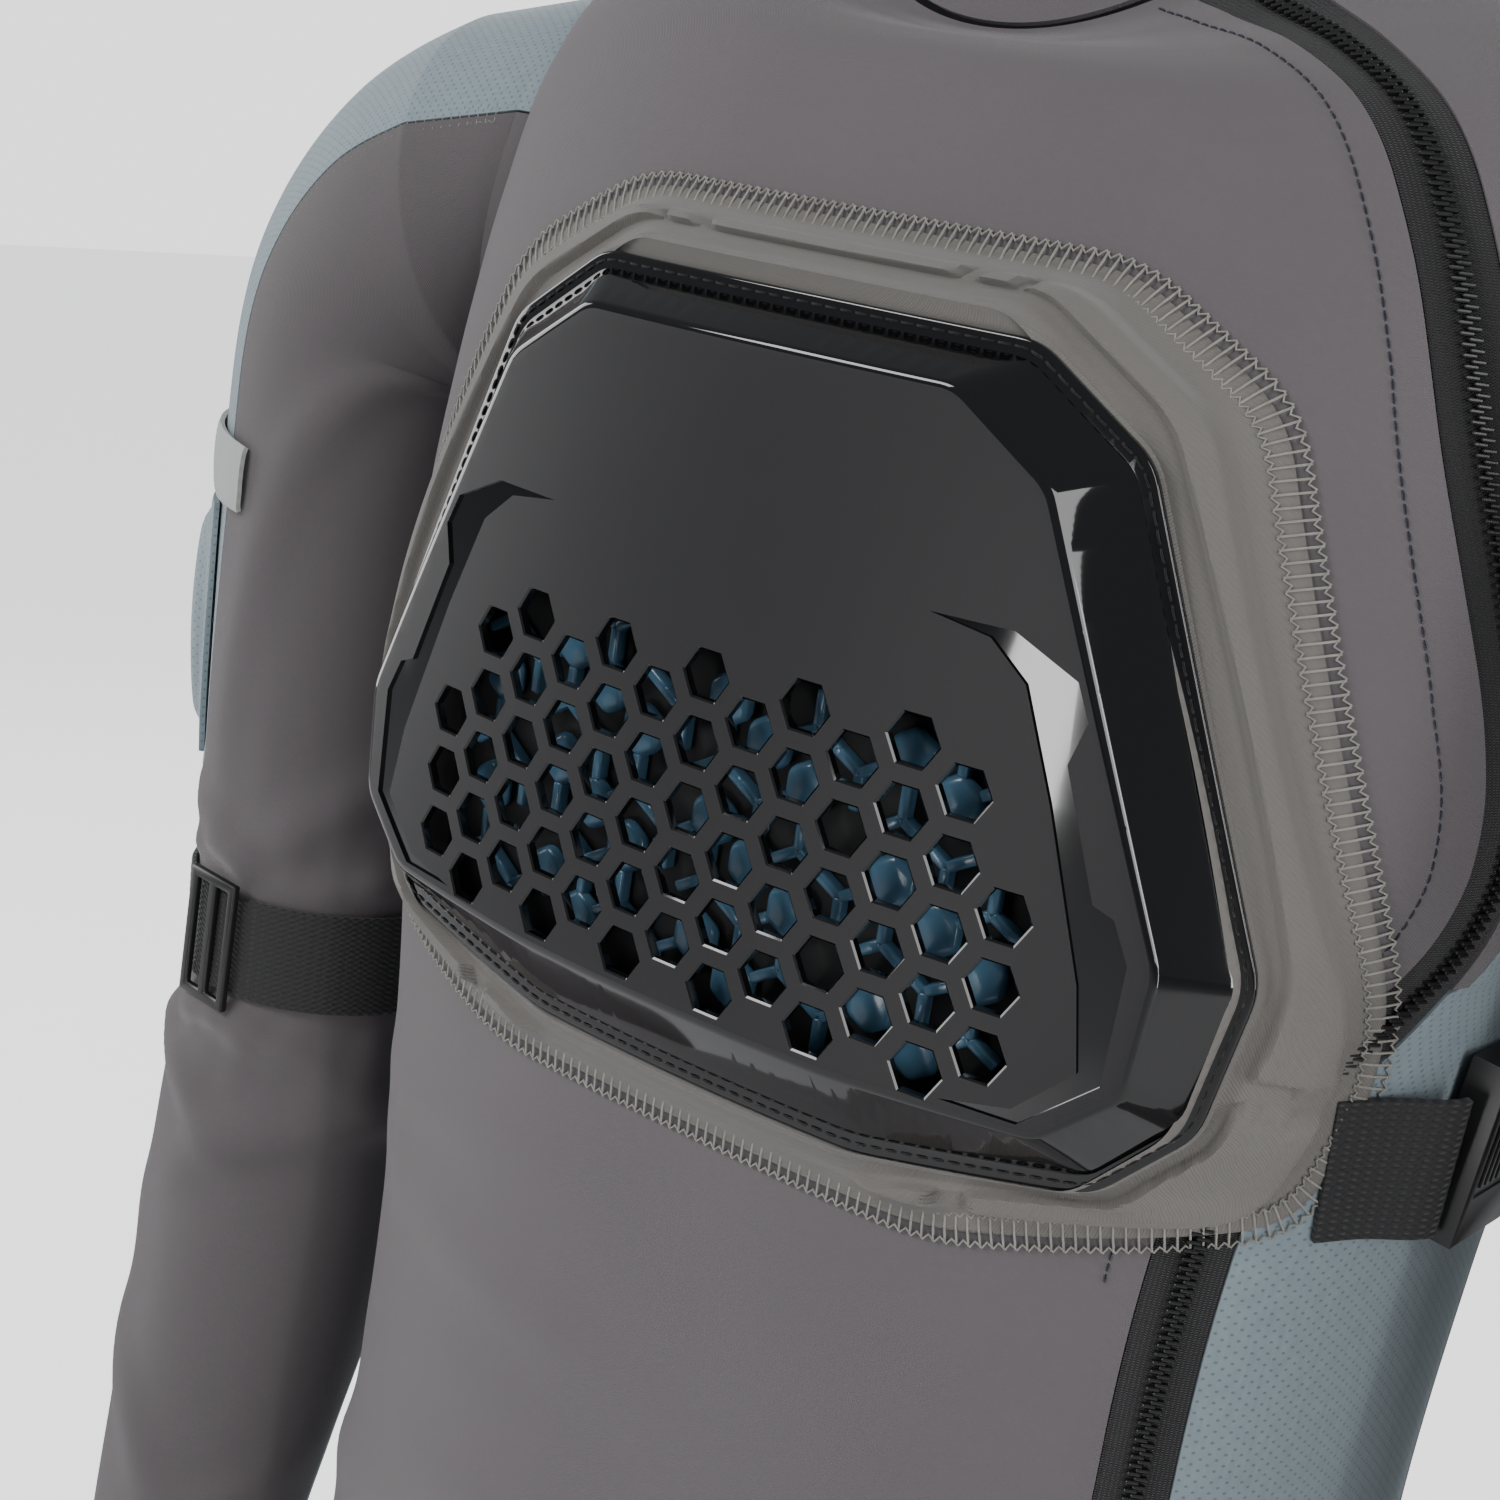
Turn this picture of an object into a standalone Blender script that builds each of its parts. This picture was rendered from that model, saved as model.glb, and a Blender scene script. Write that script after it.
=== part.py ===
"""Armored riding shirt: cloth body, zipper, chest armour, waist strap and two sleeves.

Metres, +Z up. The wearer faces -Y, the wearer's left is +X. The origin is the middle of the
neck base, on the line of the shoulders.
"""
import math

import bmesh
import bpy
import numpy as np

# Cloth and clearances
CLOTH = 0.002
GAP = 0.0003
LAY = 0.0033            # air between the body cloth and the pieces laid over it

# Body of the shirt
LENGTH = 0.680          # neck base to hem
HALF_CHEST = 0.172
FRONT_DEPTH = 0.1065
BACK_DEPTH = 0.112
NECK_DIP = 0.042        # how far the neckline falls at the front
SIDE_SEAM = 0.88        # front seam of the side panel, as a share of the way from front to side
BACK_SEAM = 1.14

# Sleeves
ARMHOLE_HALF_HEIGHT = 0.064
ARMHOLE_HALF_DEPTH = 0.056
ARMHOLE_BACK = 0.006    # the armhole's middle lies this far behind the body's
ARMHOLE_SIDES = 40
ARMHOLE_REACH = (0.55, 1.6)     # inner and outer end of its cutter, as shares of HALF_CHEST
BEND_RADIUS = 0.008     # of the sleeve's inner bend at the armpit
ARMPIT_LEVEL = -0.176
ARMPIT_REACH = 0.177    # how far out the sleeve's inner bend sits
ARM_LENGTH = 0.460      # armpit to cuff
ARM_RADIUS = 0.052
ARM_HANG = (0.005, 0.145)   # outward swing of the right and the left sleeve, rise per run
SEAM_AIR = 0.0007       # between a sleeve's root and the armhole
ROOT_COLLAR = 0.006     # how far the root runs straight out of the armhole
ROOT_AIR = 0.0005       # from the body's inner face out to the root's edge
TRIM_AIR = 0.0009       # between a sleeve's cloth and what is worn over it

# Chest armour
PITCH = 0.017           # from one vent hole to the next below it
VENT_FLATS = 0.0118     # across the flats of a vent hole
ARMOUR_RADIUS = 0.553   # sideways curve of the plate
ARMOUR_LEVEL = -0.200   # height of the armour's reference hole
ARMOUR_FRONT = -0.130   # front of the plate on the centre line
PLATE_HALF_WIDTH = 0.146
PLATE_HALF_HEIGHT = 0.101
PLATE_DEPTH = 0.014     # from the field back to the sewn rim
PLATE_WALL = 0.0025
RIM = 0.005             # width of the sewn rim
ACCENT_DEPTH = 0.0008
PAD_BAND = 0.0035       # how far the raised band stands over the sewn rim
PAD_MARGIN = 0.011      # width of the sunk margin beside the plate
PAD_EDGE = 0.0022       # thickness of the pad's sewn edge
PAD_LEAST = 0.001       # thickness of the pad where the plate presses it to the body
ARM_PAD_EDGE = 0.0018
ARM_PAD_CROWN = 0.008   # how much thicker the arm pad is in its middle
LINER_WALL = 0.0045
BACKING_WALL = 0.0012
LINER_CELL = 1.55 * PITCH       # from one gap of the lattice to the next
LINER_HALF_WIDTH = 0.101
LINER_HALF_HEIGHT = 0.050
LINER_MIDDLE = -2.25 * PITCH
LINER_STRIPS = 14

# Straps
WAIST_STRAP_WIDTH = 0.038
STRAP_WALL = 0.0018
ELBOW_STRAP_WIDTH = 0.038
SLIDER_WIDTH = 0.025
SLIDER_HEIGHT = 0.044
SLIDER_WIRE = 0.0035
ZIPPER_WIDTH = 0.018
TEETH_WIDTH = 0.0055
TEETH_HEIGHT = 0.0022
TAPE_WALL = 0.0014
TEETH_LIFT = TAPE_WALL + 2 * GAP
PULL_LENGTH = 0.010
PULL_THICK = 0.0022
PULL_ROW = 0.66         # rows from the neck up to the pull's middle

COLOURS = {
    "twill": (0.135, 0.120, 0.128, 1, 0.85),
    "pad": (0.180, 0.165, 0.155, 1, 0.85),
    "mesh": (0.200, 0.255, 0.285, 1, 0.85),
    "light": (0.370, 0.385, 0.375, 1, 0.85),
    "black_plate": (0.012, 0.012, 0.014, 1, 0.30),
    "liner": (0.055, 0.120, 0.185, 1, 0.35),
    "webbing": (0.010, 0.010, 0.011, 1, 0.80),
    "plastic": (0.012, 0.012, 0.013, 1, 0.40),
}

# One row for each level of the body. Drop, half width, front and back depth are shares of
# LENGTH, HALF_CHEST, FRONT_DEPTH and BACK_DEPTH; square is the section's exponent, and dip
# is the share of NECK_DIP by which the front hangs lower.
BODY_COLUMNS = ("drop", "width", "front", "back", "square", "dip")
BODY = np.array([
    (1.000, 1.050, 1.110, 1.020, 2.7, 0.00),
    (0.880, 1.000, 1.070, 0.960, 2.7, 0.00),
    (0.740, 0.955, 1.015, 0.910, 2.7, 0.00),
    (0.620, 0.930, 0.985, 0.890, 2.8, 0.00),
    (0.500, 0.945, 0.985, 0.910, 2.9, 0.00),
    (0.380, 0.985, 1.000, 0.950, 3.0, 0.00),
    (0.295, 1.000, 1.000, 0.985, 3.0, 0.00),
    (0.220, 1.000, 0.960, 1.000, 2.8, 0.00),
    (0.150, 0.990, 0.875, 0.980, 2.6, 0.03),
    (0.098, 0.960, 0.780, 0.930, 2.5, 0.12),
    (0.060, 0.885, 0.700, 0.860, 2.4, 0.30),
    (0.034, 0.745, 0.620, 0.775, 2.3, 0.55),
    (0.014, 0.565, 0.545, 0.690, 2.2, 0.85),
    (0.000, 0.425, 0.485, 0.610, 2.1, 1.00),
    (-0.022, 0.385, 0.455, 0.560, 2.0, 1.00),
    (-0.050, 0.380, 0.450, 0.545, 2.0, 1.00),
])
NECK_ROW = 13
COLLAR_ROW = 15

# The zipper's line: body row, and share of the way from front to side
ZIPPER = np.array([
    (0.0, 0.600), (2.0, 0.610), (4.0, 0.590), (4.6, 0.595), (5.0, 0.680), (5.3, 0.755),
    (5.6, 0.805), (6.0, 0.815), (6.5, 0.785), (7.0, 0.745), (7.6, 0.700), (8.0, 0.680),
    (9.0, 0.640), (10.5, 0.600), (15.0, 0.540),
])

# Seams of the side panels under the arm: body row, and how far they have closed towards the side
SIDE_TAPER = np.array([
    (0.0, 0.00), (4.6, 0.00), (6.0, 0.22), (7.0, 0.62), (7.6, 1.00), (15.0, 1.00),
])

# One row for each section of a sleeve. Drop is a share of ARM_LENGTH below the armpit (or,
# round the shoulder, the turn in degrees); across and deep are shares of ARM_RADIUS; inward and
# forward are shares of ARM_RADIUS by which the axis leans.
SHOULDER_COLUMNS = ("turn", "across", "deep", "forward")
SHOULDER = (
    (14, 1.130, 1.100, 0.00),
    (34, 1.090, 1.100, 0.02),
    (56, 1.050, 1.090, 0.04),
    (78, 1.010, 1.070, 0.08),
)
ARM_COLUMNS = ("drop", "across", "deep", "inward", "forward")
ARM = (
    (0.080, 0.990, 1.040, 0.08, 0.14),
    (0.190, 0.960, 1.000, 0.16, 0.22),
    (0.300, 0.930, 0.960, 0.24, 0.30),
    (0.390, 0.880, 0.920, 0.29, 0.36),
    (0.460, 0.860, 0.910, 0.32, 0.40),
    (0.540, 0.885, 0.930, 0.32, 0.50),
    (0.640, 0.850, 0.880, 0.30, 0.62),
    (0.760, 0.770, 0.790, 0.28, 0.80),
    (0.880, 0.680, 0.700, 0.26, 1.00),
    (1.000, 0.610, 0.640, 0.24, 1.15),
)

# Outlines of the armour's right half at matching corners. Field and rim are shares of
# PLATE_HALF_WIDTH and PLATE_HALF_HEIGHT from the reference hole; the pad's sewn edge is its
# distance round the body as a share of HALF_CHEST, and its height as the others'.
OUTLINE_COLUMNS = ("field_s", "field_t", "rim_s", "rim_t", "pad_s", "pad_t")
UPPER = np.array([
    (0.000, 0.800, 0.000, 0.925, 0.000, 1.150),
    (0.373, 0.798, 0.453, 0.914, 0.420, 1.090),
    (0.553, 0.625, 0.673, 0.707, 0.660, 0.840),
    (0.860, -0.365, 1.000, -0.385, 0.975, -0.400),
])
LOWER = np.array([
    (0.000, -0.866, 0.000, -1.093, 0.000, -1.222),
    (0.340, -0.850, 0.373, -1.077, 0.420, -1.222),
    (0.540, -0.838, 0.600, -1.019, 0.660, -1.120),
    (0.713, -0.827, 0.806, -0.971, 0.915, -0.980),
    (0.846, -0.664, 0.953, -0.760, 0.985, -0.660),
])
# The two glossy brackets sunk into the field, as shares of the plate's half sizes
ACCENT = (
    (0.393, 0.298), (0.540, 0.302), (0.653, 0.227), (0.680, 0.144), (0.660, 0.042),
    (0.740, -0.250), (0.777, -0.269), (0.811, -0.365), (0.806, -0.654), (0.686, -0.802),
    (0.550, -0.804), (0.673, -0.769), (0.766, -0.640), (0.740, -0.442), (0.645, -0.058),
    (0.572, 0.192), (0.502, 0.275),
)


def clear_scene():
    for item in list(bpy.data.objects):
        bpy.data.objects.remove(item, do_unlink=True)


clear_scene()
SHIRT = bpy.data.collections.new("armored_shirt")
bpy.context.scene.collection.children.link(SHIRT)
CUTTERS = bpy.data.collections.new("cutters")
bpy.context.scene.collection.children.link(CUTTERS)


def material(kind):
    """The piece's plain finish, from the table of colours."""
    found = bpy.data.materials.get(kind)
    if found:
        return found
    made = bpy.data.materials.new(kind)
    made.use_nodes = True
    shader = made.node_tree.nodes["Principled BSDF"]
    red, green, blue, alpha, rough = COLOURS[kind]
    shader.inputs["Base Color"].default_value = (red, green, blue, alpha)
    shader.inputs["Roughness"].default_value = rough
    return made


def mesh_object(name, points, faces, kind):
    """A named object from points and faces, shaded smooth."""
    mesh = bpy.data.meshes.new(name)
    mesh.from_pydata([tuple(map(float, p)) for p in points], [], faces)
    shell = bmesh.new()
    shell.from_mesh(mesh)
    bmesh.ops.remove_doubles(shell, verts=shell.verts, dist=1e-5)
    shell.to_mesh(mesh)
    shell.free()
    mesh.shade_smooth()
    mesh.set_sharp_from_angle(angle=math.radians(35))
    made = bpy.data.objects.new(name, mesh)
    SHIRT.objects.link(made)
    if kind:
        mesh.materials.append(material(kind))
    return made


def thicken(piece, wall):
    """Cloth: the open surface is the inner face, and the wall grows outwards."""
    shell = piece.modifiers.new("cloth", "SOLIDIFY")
    shell.thickness = wall
    shell.offset = 1.0
    shell.use_even_offset = False
    return piece


def grid_faces(rows, columns, closed=False, flip=False):
    """Quads of a grid of points stored row by row."""
    faces = []
    wrap = columns if closed else columns - 1
    for row in range(rows - 1):
        for col in range(wrap):
            a = row * columns + col
            b = row * columns + (col + 1) % columns
            quad = (a, b, b + columns, a + columns)
            faces.append(quad[::-1] if flip else quad)
    return faces


def body_row(row):
    """Sizes of the body at a row of the table, between rows by a smooth curve."""
    row = min(max(row, 0.0), COLLAR_ROW)
    low = min(int(row), COLLAR_ROW - 1)
    share = row - low
    before = BODY[max(low - 1, 0)]
    start = BODY[low]
    end = BODY[low + 1]
    after = BODY[min(low + 2, COLLAR_ROW)]
    slope_in = (end - before) / 2
    slope_out = (after - start) / 2
    s2 = share * share
    s3 = s2 * share
    return ((2 * s3 - 3 * s2 + 1) * start + (s3 - 2 * s2 + share) * slope_in
            + (3 * s2 - 2 * s3) * end + (s3 - s2) * slope_out)


QUARTER = np.radians(np.linspace(0, 90, 181))
SECTIONS = {}


def section(row):
    """Front and back quarters of a body section: x, y and length along, from the middle."""
    key = round(float(row), 5)
    if key not in SECTIONS:
        drop, width, front, back, square, dip = body_row(key)
        quarters = []
        for depth, side in ((front * FRONT_DEPTH, -1), (back * BACK_DEPTH, 1)):
            across = np.sin(QUARTER) / (width * HALF_CHEST)
            along = np.cos(QUARTER) / depth
            radius = (np.abs(across) ** square + np.abs(along) ** square) ** (-1 / square)
            x = radius * np.sin(QUARTER)
            y = side * radius * np.cos(QUARTER)
            run = np.concatenate([[0], np.cumsum(np.hypot(np.diff(x), np.diff(y)))])
            quarters.append((x, y, run))
        SECTIONS[key] = (quarters, -drop * LENGTH, dip * NECK_DIP, front * FRONT_DEPTH)
    return SECTIONS[key]


def body_surface(turn, row):
    """Point of the body's inner face. Turn is 0 at the front, 1 at the side, 2 at the back."""
    quarters, level, dip, depth = section(row)
    share = abs(turn)
    mirror = -1 if turn < 0 else 1
    if share > 2:
        share = 4 - share
        mirror = -mirror
    if share <= 1:
        x, y, run = quarters[0]
        length = share * run[-1]
    else:
        x, y, run = quarters[1]
        length = (2 - share) * run[-1]
    px = np.interp(length, run, x)
    py = np.interp(length, run, y)
    lean = max(0.0, -py / depth)
    return np.array([mirror * px, py, level - dip * lean * lean])


def body_point(turn, row, off=0.0):
    """Point at a distance off the body's inner face, along its normal."""
    point = body_surface(turn, row)
    if off == 0:
        return point
    small = 0.01
    across = body_surface(turn + small, row) - body_surface(turn - small, row)
    low = max(row - 5 * small, 0)
    high = min(row + 5 * small, COLLAR_ROW)
    up = body_surface(turn, high) - body_surface(turn, low)
    normal = np.cross(across, up)
    return point + off * normal / np.linalg.norm(normal)


def row_at(level):
    """The table row of a height below the neck, where the front doesn't dip."""
    rows = np.linspace(0, NECK_ROW, 521)
    levels = [-body_row(r)[0] * LENGTH for r in rows]
    return float(np.interp(level, levels, rows))


def arc_turn(arc, row):
    """The turn at a length of arc from the front's middle."""
    quarters = section(row)[0]
    front = quarters[0][2][-1]
    back = quarters[1][2][-1]
    size = abs(arc)
    turn = size / front if size <= front else 1 + (size - front) / back
    return math.copysign(turn, arc)


def arc_size(row):
    """Length of arc for one unit of turn at the front."""
    return section(row)[0][0][2][-1]


def zipper_turn(row):
    return float(np.interp(row, ZIPPER[:, 0], ZIPPER[:, 1]))


def zipper_edge(row, side):
    """Turn of the zipper's edge: side is -1 towards the front, 1 towards the arm."""
    return zipper_turn(row) + side * (ZIPPER_WIDTH / 2 + GAP) / arc_size(row)


def side_seam(row, front):
    """Turn of the side panel's front or back seam, closing to the armpit."""
    closed = float(np.interp(row, SIDE_TAPER[:, 0], SIDE_TAPER[:, 1]))
    open_turn = SIDE_SEAM if front else BACK_SEAM
    return open_turn + (1 - open_turn) * closed


def seam_gap(row):
    return GAP / arc_size(row)


def body_panel(name, rows, left, right, columns, kind):
    """A cloth panel of the body between two seams, each a function of the row."""
    points = []
    for row in rows:
        start = left(row)
        end = right(row)
        for col in range(columns + 1):
            points.append(body_point(start + (end - start) * col / columns, row))
    faces = grid_faces(len(rows), columns + 1)
    return thicken(mesh_object(name, points, faces, kind), CLOTH)


BODY_ROWS = [0, 1, 2, 3, 4, 4.6, 5, 5.3, 5.6, 6, 6.5, 7, 7.6, 8, 9, 10, 11, 12, 13]
COLLAR_ROWS = [NECK_ROW + 0.18, NECK_ROW + 1.0, COLLAR_ROW]
TIP_ROW = 5.3           # where the strip beside the zipper starts
TIP_TURN = 0.012        # half of its blunt lower end


def left_strip_seam(row):
    """Seam between the left side panel and the strip that runs up beside the zipper."""
    tip = zipper_edge(row, 1) + 2 * TIP_TURN
    closed = float(np.interp(row, (TIP_ROW, 7.0, 7.6), (0, 0.7, 1)))
    return tip + (1 - tip) * closed


def make_body():
    rows = BODY_ROWS
    body_panel("front_body", rows, lambda r: -side_seam(r, True),
               lambda r: zipper_edge(r, -1), 12, "twill")
    body_panel("back_body", rows, lambda r: side_seam(r, False),
               lambda r: 4 - side_seam(r, False), 10, "twill")
    low_rows = [r for r in rows if r <= 7.6]
    body_panel("side_panel_right", low_rows, lambda r: -side_seam(r, False) + seam_gap(r),
               lambda r: -side_seam(r, True) - seam_gap(r), 3, "mesh")
    body_panel("side_panel_left", low_rows, left_side_start,
               lambda r: side_seam(r, False) - seam_gap(r), 4, "mesh")
    high_rows = [r for r in rows if r >= TIP_ROW]
    body_panel("front_left_panel", high_rows, lambda r: zipper_edge(r, 1),
               left_strip_end, 4, "twill")


def left_side_start(row):
    """Front seam of the left side panel: the zipper, then the strip beside it."""
    if row < TIP_ROW:
        return zipper_edge(row, 1)
    return left_strip_seam(row) + seam_gap(row)


def left_strip_end(row):
    """The strip ends at the side panel, and at the shoulder seam above the arm."""
    return min(left_strip_seam(row), 1.0)


def make_collar():
    """A short stand-up collar, open at the zipper."""
    rows = COLLAR_ROWS
    body_panel("collar", rows, lambda r: zipper_edge(r, 1),
               lambda r: 4 + zipper_edge(r, -1), 24, "twill")


def strip_on_body(name, route, across, wall, kind):
    """A band along a route of (turn, row, off) points, lying flat on the body."""
    points = []
    count = len(route)
    for index, (turn, row, off) in enumerate(route):
        before = body_point(*route[max(index - 1, 0)])
        after = body_point(*route[min(index + 1, count - 1)])
        along = (after - before) / np.linalg.norm(after - before)
        middle = body_point(turn, row, off)
        outward = middle - body_surface(turn, row)
        sideways = np.cross(along, outward / np.linalg.norm(outward))
        sideways /= np.linalg.norm(sideways)
        for share in (-1, 1):
            points.append(middle + sideways * share * across / 2)
    made = mesh_object(name, points, grid_faces(count, 2), kind)
    return thicken(made, wall)


def make_zipper():
    rows = BODY_ROWS + COLLAR_ROWS
    points = []
    columns = 2
    for row in rows:
        half = ZIPPER_WIDTH / 2 / arc_size(row)
        for col in range(columns + 1):
            turn = zipper_turn(row) + half * (2 * col / columns - 1)
            points.append(body_point(turn, row))
    tape = mesh_object("zipper_tape", points, grid_faces(len(rows), columns + 1), "webbing")
    thicken(tape, TAPE_WALL)
    points = []
    lift = TEETH_LIFT
    for row in rows[:-1]:
        half = TEETH_WIDTH / 2 / arc_size(row)
        for share, height in ((-1, 0), (-0.7, 1), (0.7, 1), (1, 0)):
            turn = zipper_turn(row) + half * share
            points.append(body_point(turn, row, lift + height * TEETH_HEIGHT))
    count = len(rows) - 1
    faces = grid_faces(count, 4)
    faces += [(4 * i, 4 * i + 4, 4 * i + 7, 4 * i + 3) for i in range(count - 1)]
    faces += [(0, 3, 2, 1), tuple(4 * (count - 1) + i for i in range(4))]
    mesh_object("zipper_teeth", points, faces, "plastic")


def armour_point(s, t, depth):
    """Point of the armour: s round its curve, t up, depth behind the plate's field."""
    turn = s / ARMOUR_RADIUS
    radius = ARMOUR_RADIUS - depth
    return np.array([radius * math.sin(turn),
                     ARMOUR_FRONT + ARMOUR_RADIUS - radius * math.cos(turn),
                     ARMOUR_LEVEL + t])


VENT_COLUMN = PITCH * math.sqrt(3) / 2      # from one column of vents to the next


def field_columns():
    """Sideways places where the field is creased: between vent columns, and at corners."""
    corners = [UPPER[1, 0], UPPER[2, 0], LOWER[3, 0], LOWER[4, 0]]
    between = [(k + 0.5) * VENT_COLUMN / PLATE_HALF_WIDTH for k in range(7)]
    clear = 0.03
    kept = [b for b in between if all(abs(b - c) > 0.1 * clear for c in corners)]
    return sorted(kept + corners)


def outline(s_column, size):
    """A closed outline, clockwise from the top, from the two halves' matching corners."""
    right = []
    for table, places in ((UPPER, COLUMNS + [UPPER[-1, 0]]), (LOWER, COLUMNS[::-1])):
        for place in places:
            right.append([np.interp(place, table[:, 0], table[:, s_column]),
                          np.interp(place, table[:, 0], table[:, s_column + 1])])
    left = [[-s, t] for s, t in right[::-1]]
    return np.array(right + left) * size


def strips(ring):
    """Upright strips that fill an outline's ring of point numbers."""
    count = len(COLUMNS)
    half = 2 * count + 1
    right = ring[:half]
    left = ring[half:][::-1]
    faces = [(left[0], right[0], right[half - 1], left[half - 1])]
    for side in (right, left):
        for index in range(count - 1):
            faces.append((side[index], side[index + 1], side[half - 2 - index],
                          side[half - 1 - index]))
        faces.append((side[count - 1], side[count], side[count + 1]))
    return faces


COLUMNS = field_columns()
PLATE_SIZE = np.array([PLATE_HALF_WIDTH, PLATE_HALF_HEIGHT])
FIELD = outline(0, PLATE_SIZE)
OUTER = outline(2, PLATE_SIZE)
PAD_OUTLINE = outline(4, np.array([HALF_CHEST, PLATE_HALF_HEIGHT]))
MIDDLE = np.array([0.0, -0.08 * PLATE_HALF_HEIGHT])


def offset_outline(outline, amount):
    """The outline moved outwards by an amount, along its own normals."""
    before = np.roll(outline, 1, axis=0)
    after = np.roll(outline, -1, axis=0)
    along_in = (outline - before) / np.linalg.norm(outline - before, axis=1)[:, None]
    along_out = (after - outline) / np.linalg.norm(after - outline, axis=1)[:, None]
    normal_in = np.stack([-along_in[:, 1], along_in[:, 0]], axis=1)
    normal_out = np.stack([-along_out[:, 1], along_out[:, 0]], axis=1)
    normal = normal_in + normal_out
    normal /= np.linalg.norm(normal, axis=1)[:, None]
    stretch = np.maximum((normal * normal_in).sum(axis=1), 0.5)
    return outline + normal * (amount / stretch)[:, None]


def shrink(outline, share):
    return MIDDLE + (outline - MIDDLE) * share


def loft_rings(name, rings, first_cap, last_cap, kind):
    """A closed body from rings of points with a middle point on each end."""
    count = len(rings[0])
    points = [p for ring in rings for p in ring]
    faces = grid_faces(len(rings), count, closed=True)
    start = len(points)
    points += [first_cap, last_cap]
    last = (len(rings) - 1) * count
    for index in range(count):
        nxt = (index + 1) % count
        faces.append((start, nxt, index))
        faces.append((start + 1, last + index, last + nxt))
    return mesh_object(name, points, faces, kind)


def ring_of(outline, depth):
    return [armour_point(s, t, depth) for s, t in outline]


def strip_body(name, rings, kind):
    """A closed body from rings of points, filled front and back by upright strips."""
    count = len(rings[0])
    points = [p for ring in rings for p in ring]
    faces = grid_faces(len(rings), count, closed=True)
    faces += strips(list(range(count)))
    faces += strips(list(range((len(rings) - 1) * count, len(rings) * count)))
    made = mesh_object(name, points, faces, kind)
    shell = bmesh.new()
    shell.from_mesh(made.data)
    bmesh.ops.recalc_face_normals(shell, faces=shell.faces)
    shell.to_mesh(made.data)
    shell.free()
    return made


def prism(name, outline, near, far):
    """A cutter: an outline in the armour's own frame, from one depth to another."""
    rings = [ring_of(outline, near), ring_of(outline, far)]
    centre = outline.mean(axis=0)
    made = loft_rings(name, rings, armour_point(*centre, near), armour_point(*centre, far),
                      None)
    return made


def join_as_cutter(name, pieces):
    """One cutter object from separate prisms."""
    shell = bmesh.new()
    for piece in pieces:
        shell.from_mesh(piece.data)
        bpy.data.objects.remove(piece, do_unlink=True)
    mesh = bpy.data.meshes.new(name)
    bmesh.ops.recalc_face_normals(shell, faces=shell.faces)
    shell.to_mesh(mesh)
    shell.free()
    made = bpy.data.objects.new(name, mesh)
    CUTTERS.objects.link(made)
    made.hide_render = True
    made.display_type = "WIRE"
    return made


def cut(piece, cutter):
    """Boolean difference, kept as a modifier."""
    change = piece.modifiers.new("cut_" + cutter.name, "BOOLEAN")
    change.operation = "DIFFERENCE"
    change.solver = "EXACT"
    change.object = cutter


def hexagon(s, t, flats):
    """Flat-top hexagon, corners to the left and right."""
    radius = flats / math.sqrt(3)
    return np.array([(s + radius * math.cos(math.radians(60 * k)),
                      t - radius * math.sin(math.radians(60 * k))) for k in range(6)])


def vent_places():
    """Centres of the vent holes: five rows deep in each column, three at the two ends."""
    places = []
    for column in range(-6, 7):
        odd = column % 2
        first, last = (0.5, 4.5) if odd else (0, 4)
        if abs(column) == 6:
            first, last = 2, 4
        count = int(last - first) + 1
        for index in range(count):
            places.append((column * VENT_COLUMN, -(first + index) * PITCH))
    return places


def make_plate():
    """Moulded chest plate: a field, a bevel round it and a flat rim that is sewn down."""
    foot = offset_outline(OUTER, -RIM)
    inner_foot = offset_outline(foot, -PLATE_WALL * 0.9)
    inner_field = FIELD * (1 - PLATE_WALL / PLATE_HALF_WIDTH)
    back = PLATE_DEPTH + PLATE_WALL * 0.8
    rings = [ring_of(FIELD, 0), ring_of(foot, PLATE_DEPTH), ring_of(OUTER, PLATE_DEPTH),
             ring_of(OUTER, back), ring_of(inner_foot, back), ring_of(inner_field, PLATE_WALL)]
    plate = strip_body("chest_plate", rings, "black_plate")
    vents = [prism("vent", hexagon(s, t, VENT_FLATS), -PLATE_WALL, 2 * PLATE_WALL)
             for s, t in vent_places()]
    cut(plate, join_as_cutter("vent_cutter", vents))
    right = np.array(ACCENT) * PLATE_SIZE
    left = right[::-1] * np.array([-1, 1])
    accents = [accent_prism(right), accent_prism(left)]
    cut(plate, join_as_cutter("accent_cutter", accents))


def accent_prism(outline):
    """A cutter for a sunk bracket."""
    mesh_points = ring_of(outline, -ACCENT_DEPTH) + ring_of(outline, ACCENT_DEPTH)
    count = len(outline)
    faces = grid_faces(2, count, closed=True)
    faces.append(tuple(range(count))[::-1])
    faces.append(tuple(range(count, 2 * count)))
    return mesh_object("accent", mesh_points, faces, None)


PAD_FACE = PLATE_DEPTH + PLATE_WALL * 0.8 + 2 * GAP


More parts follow.
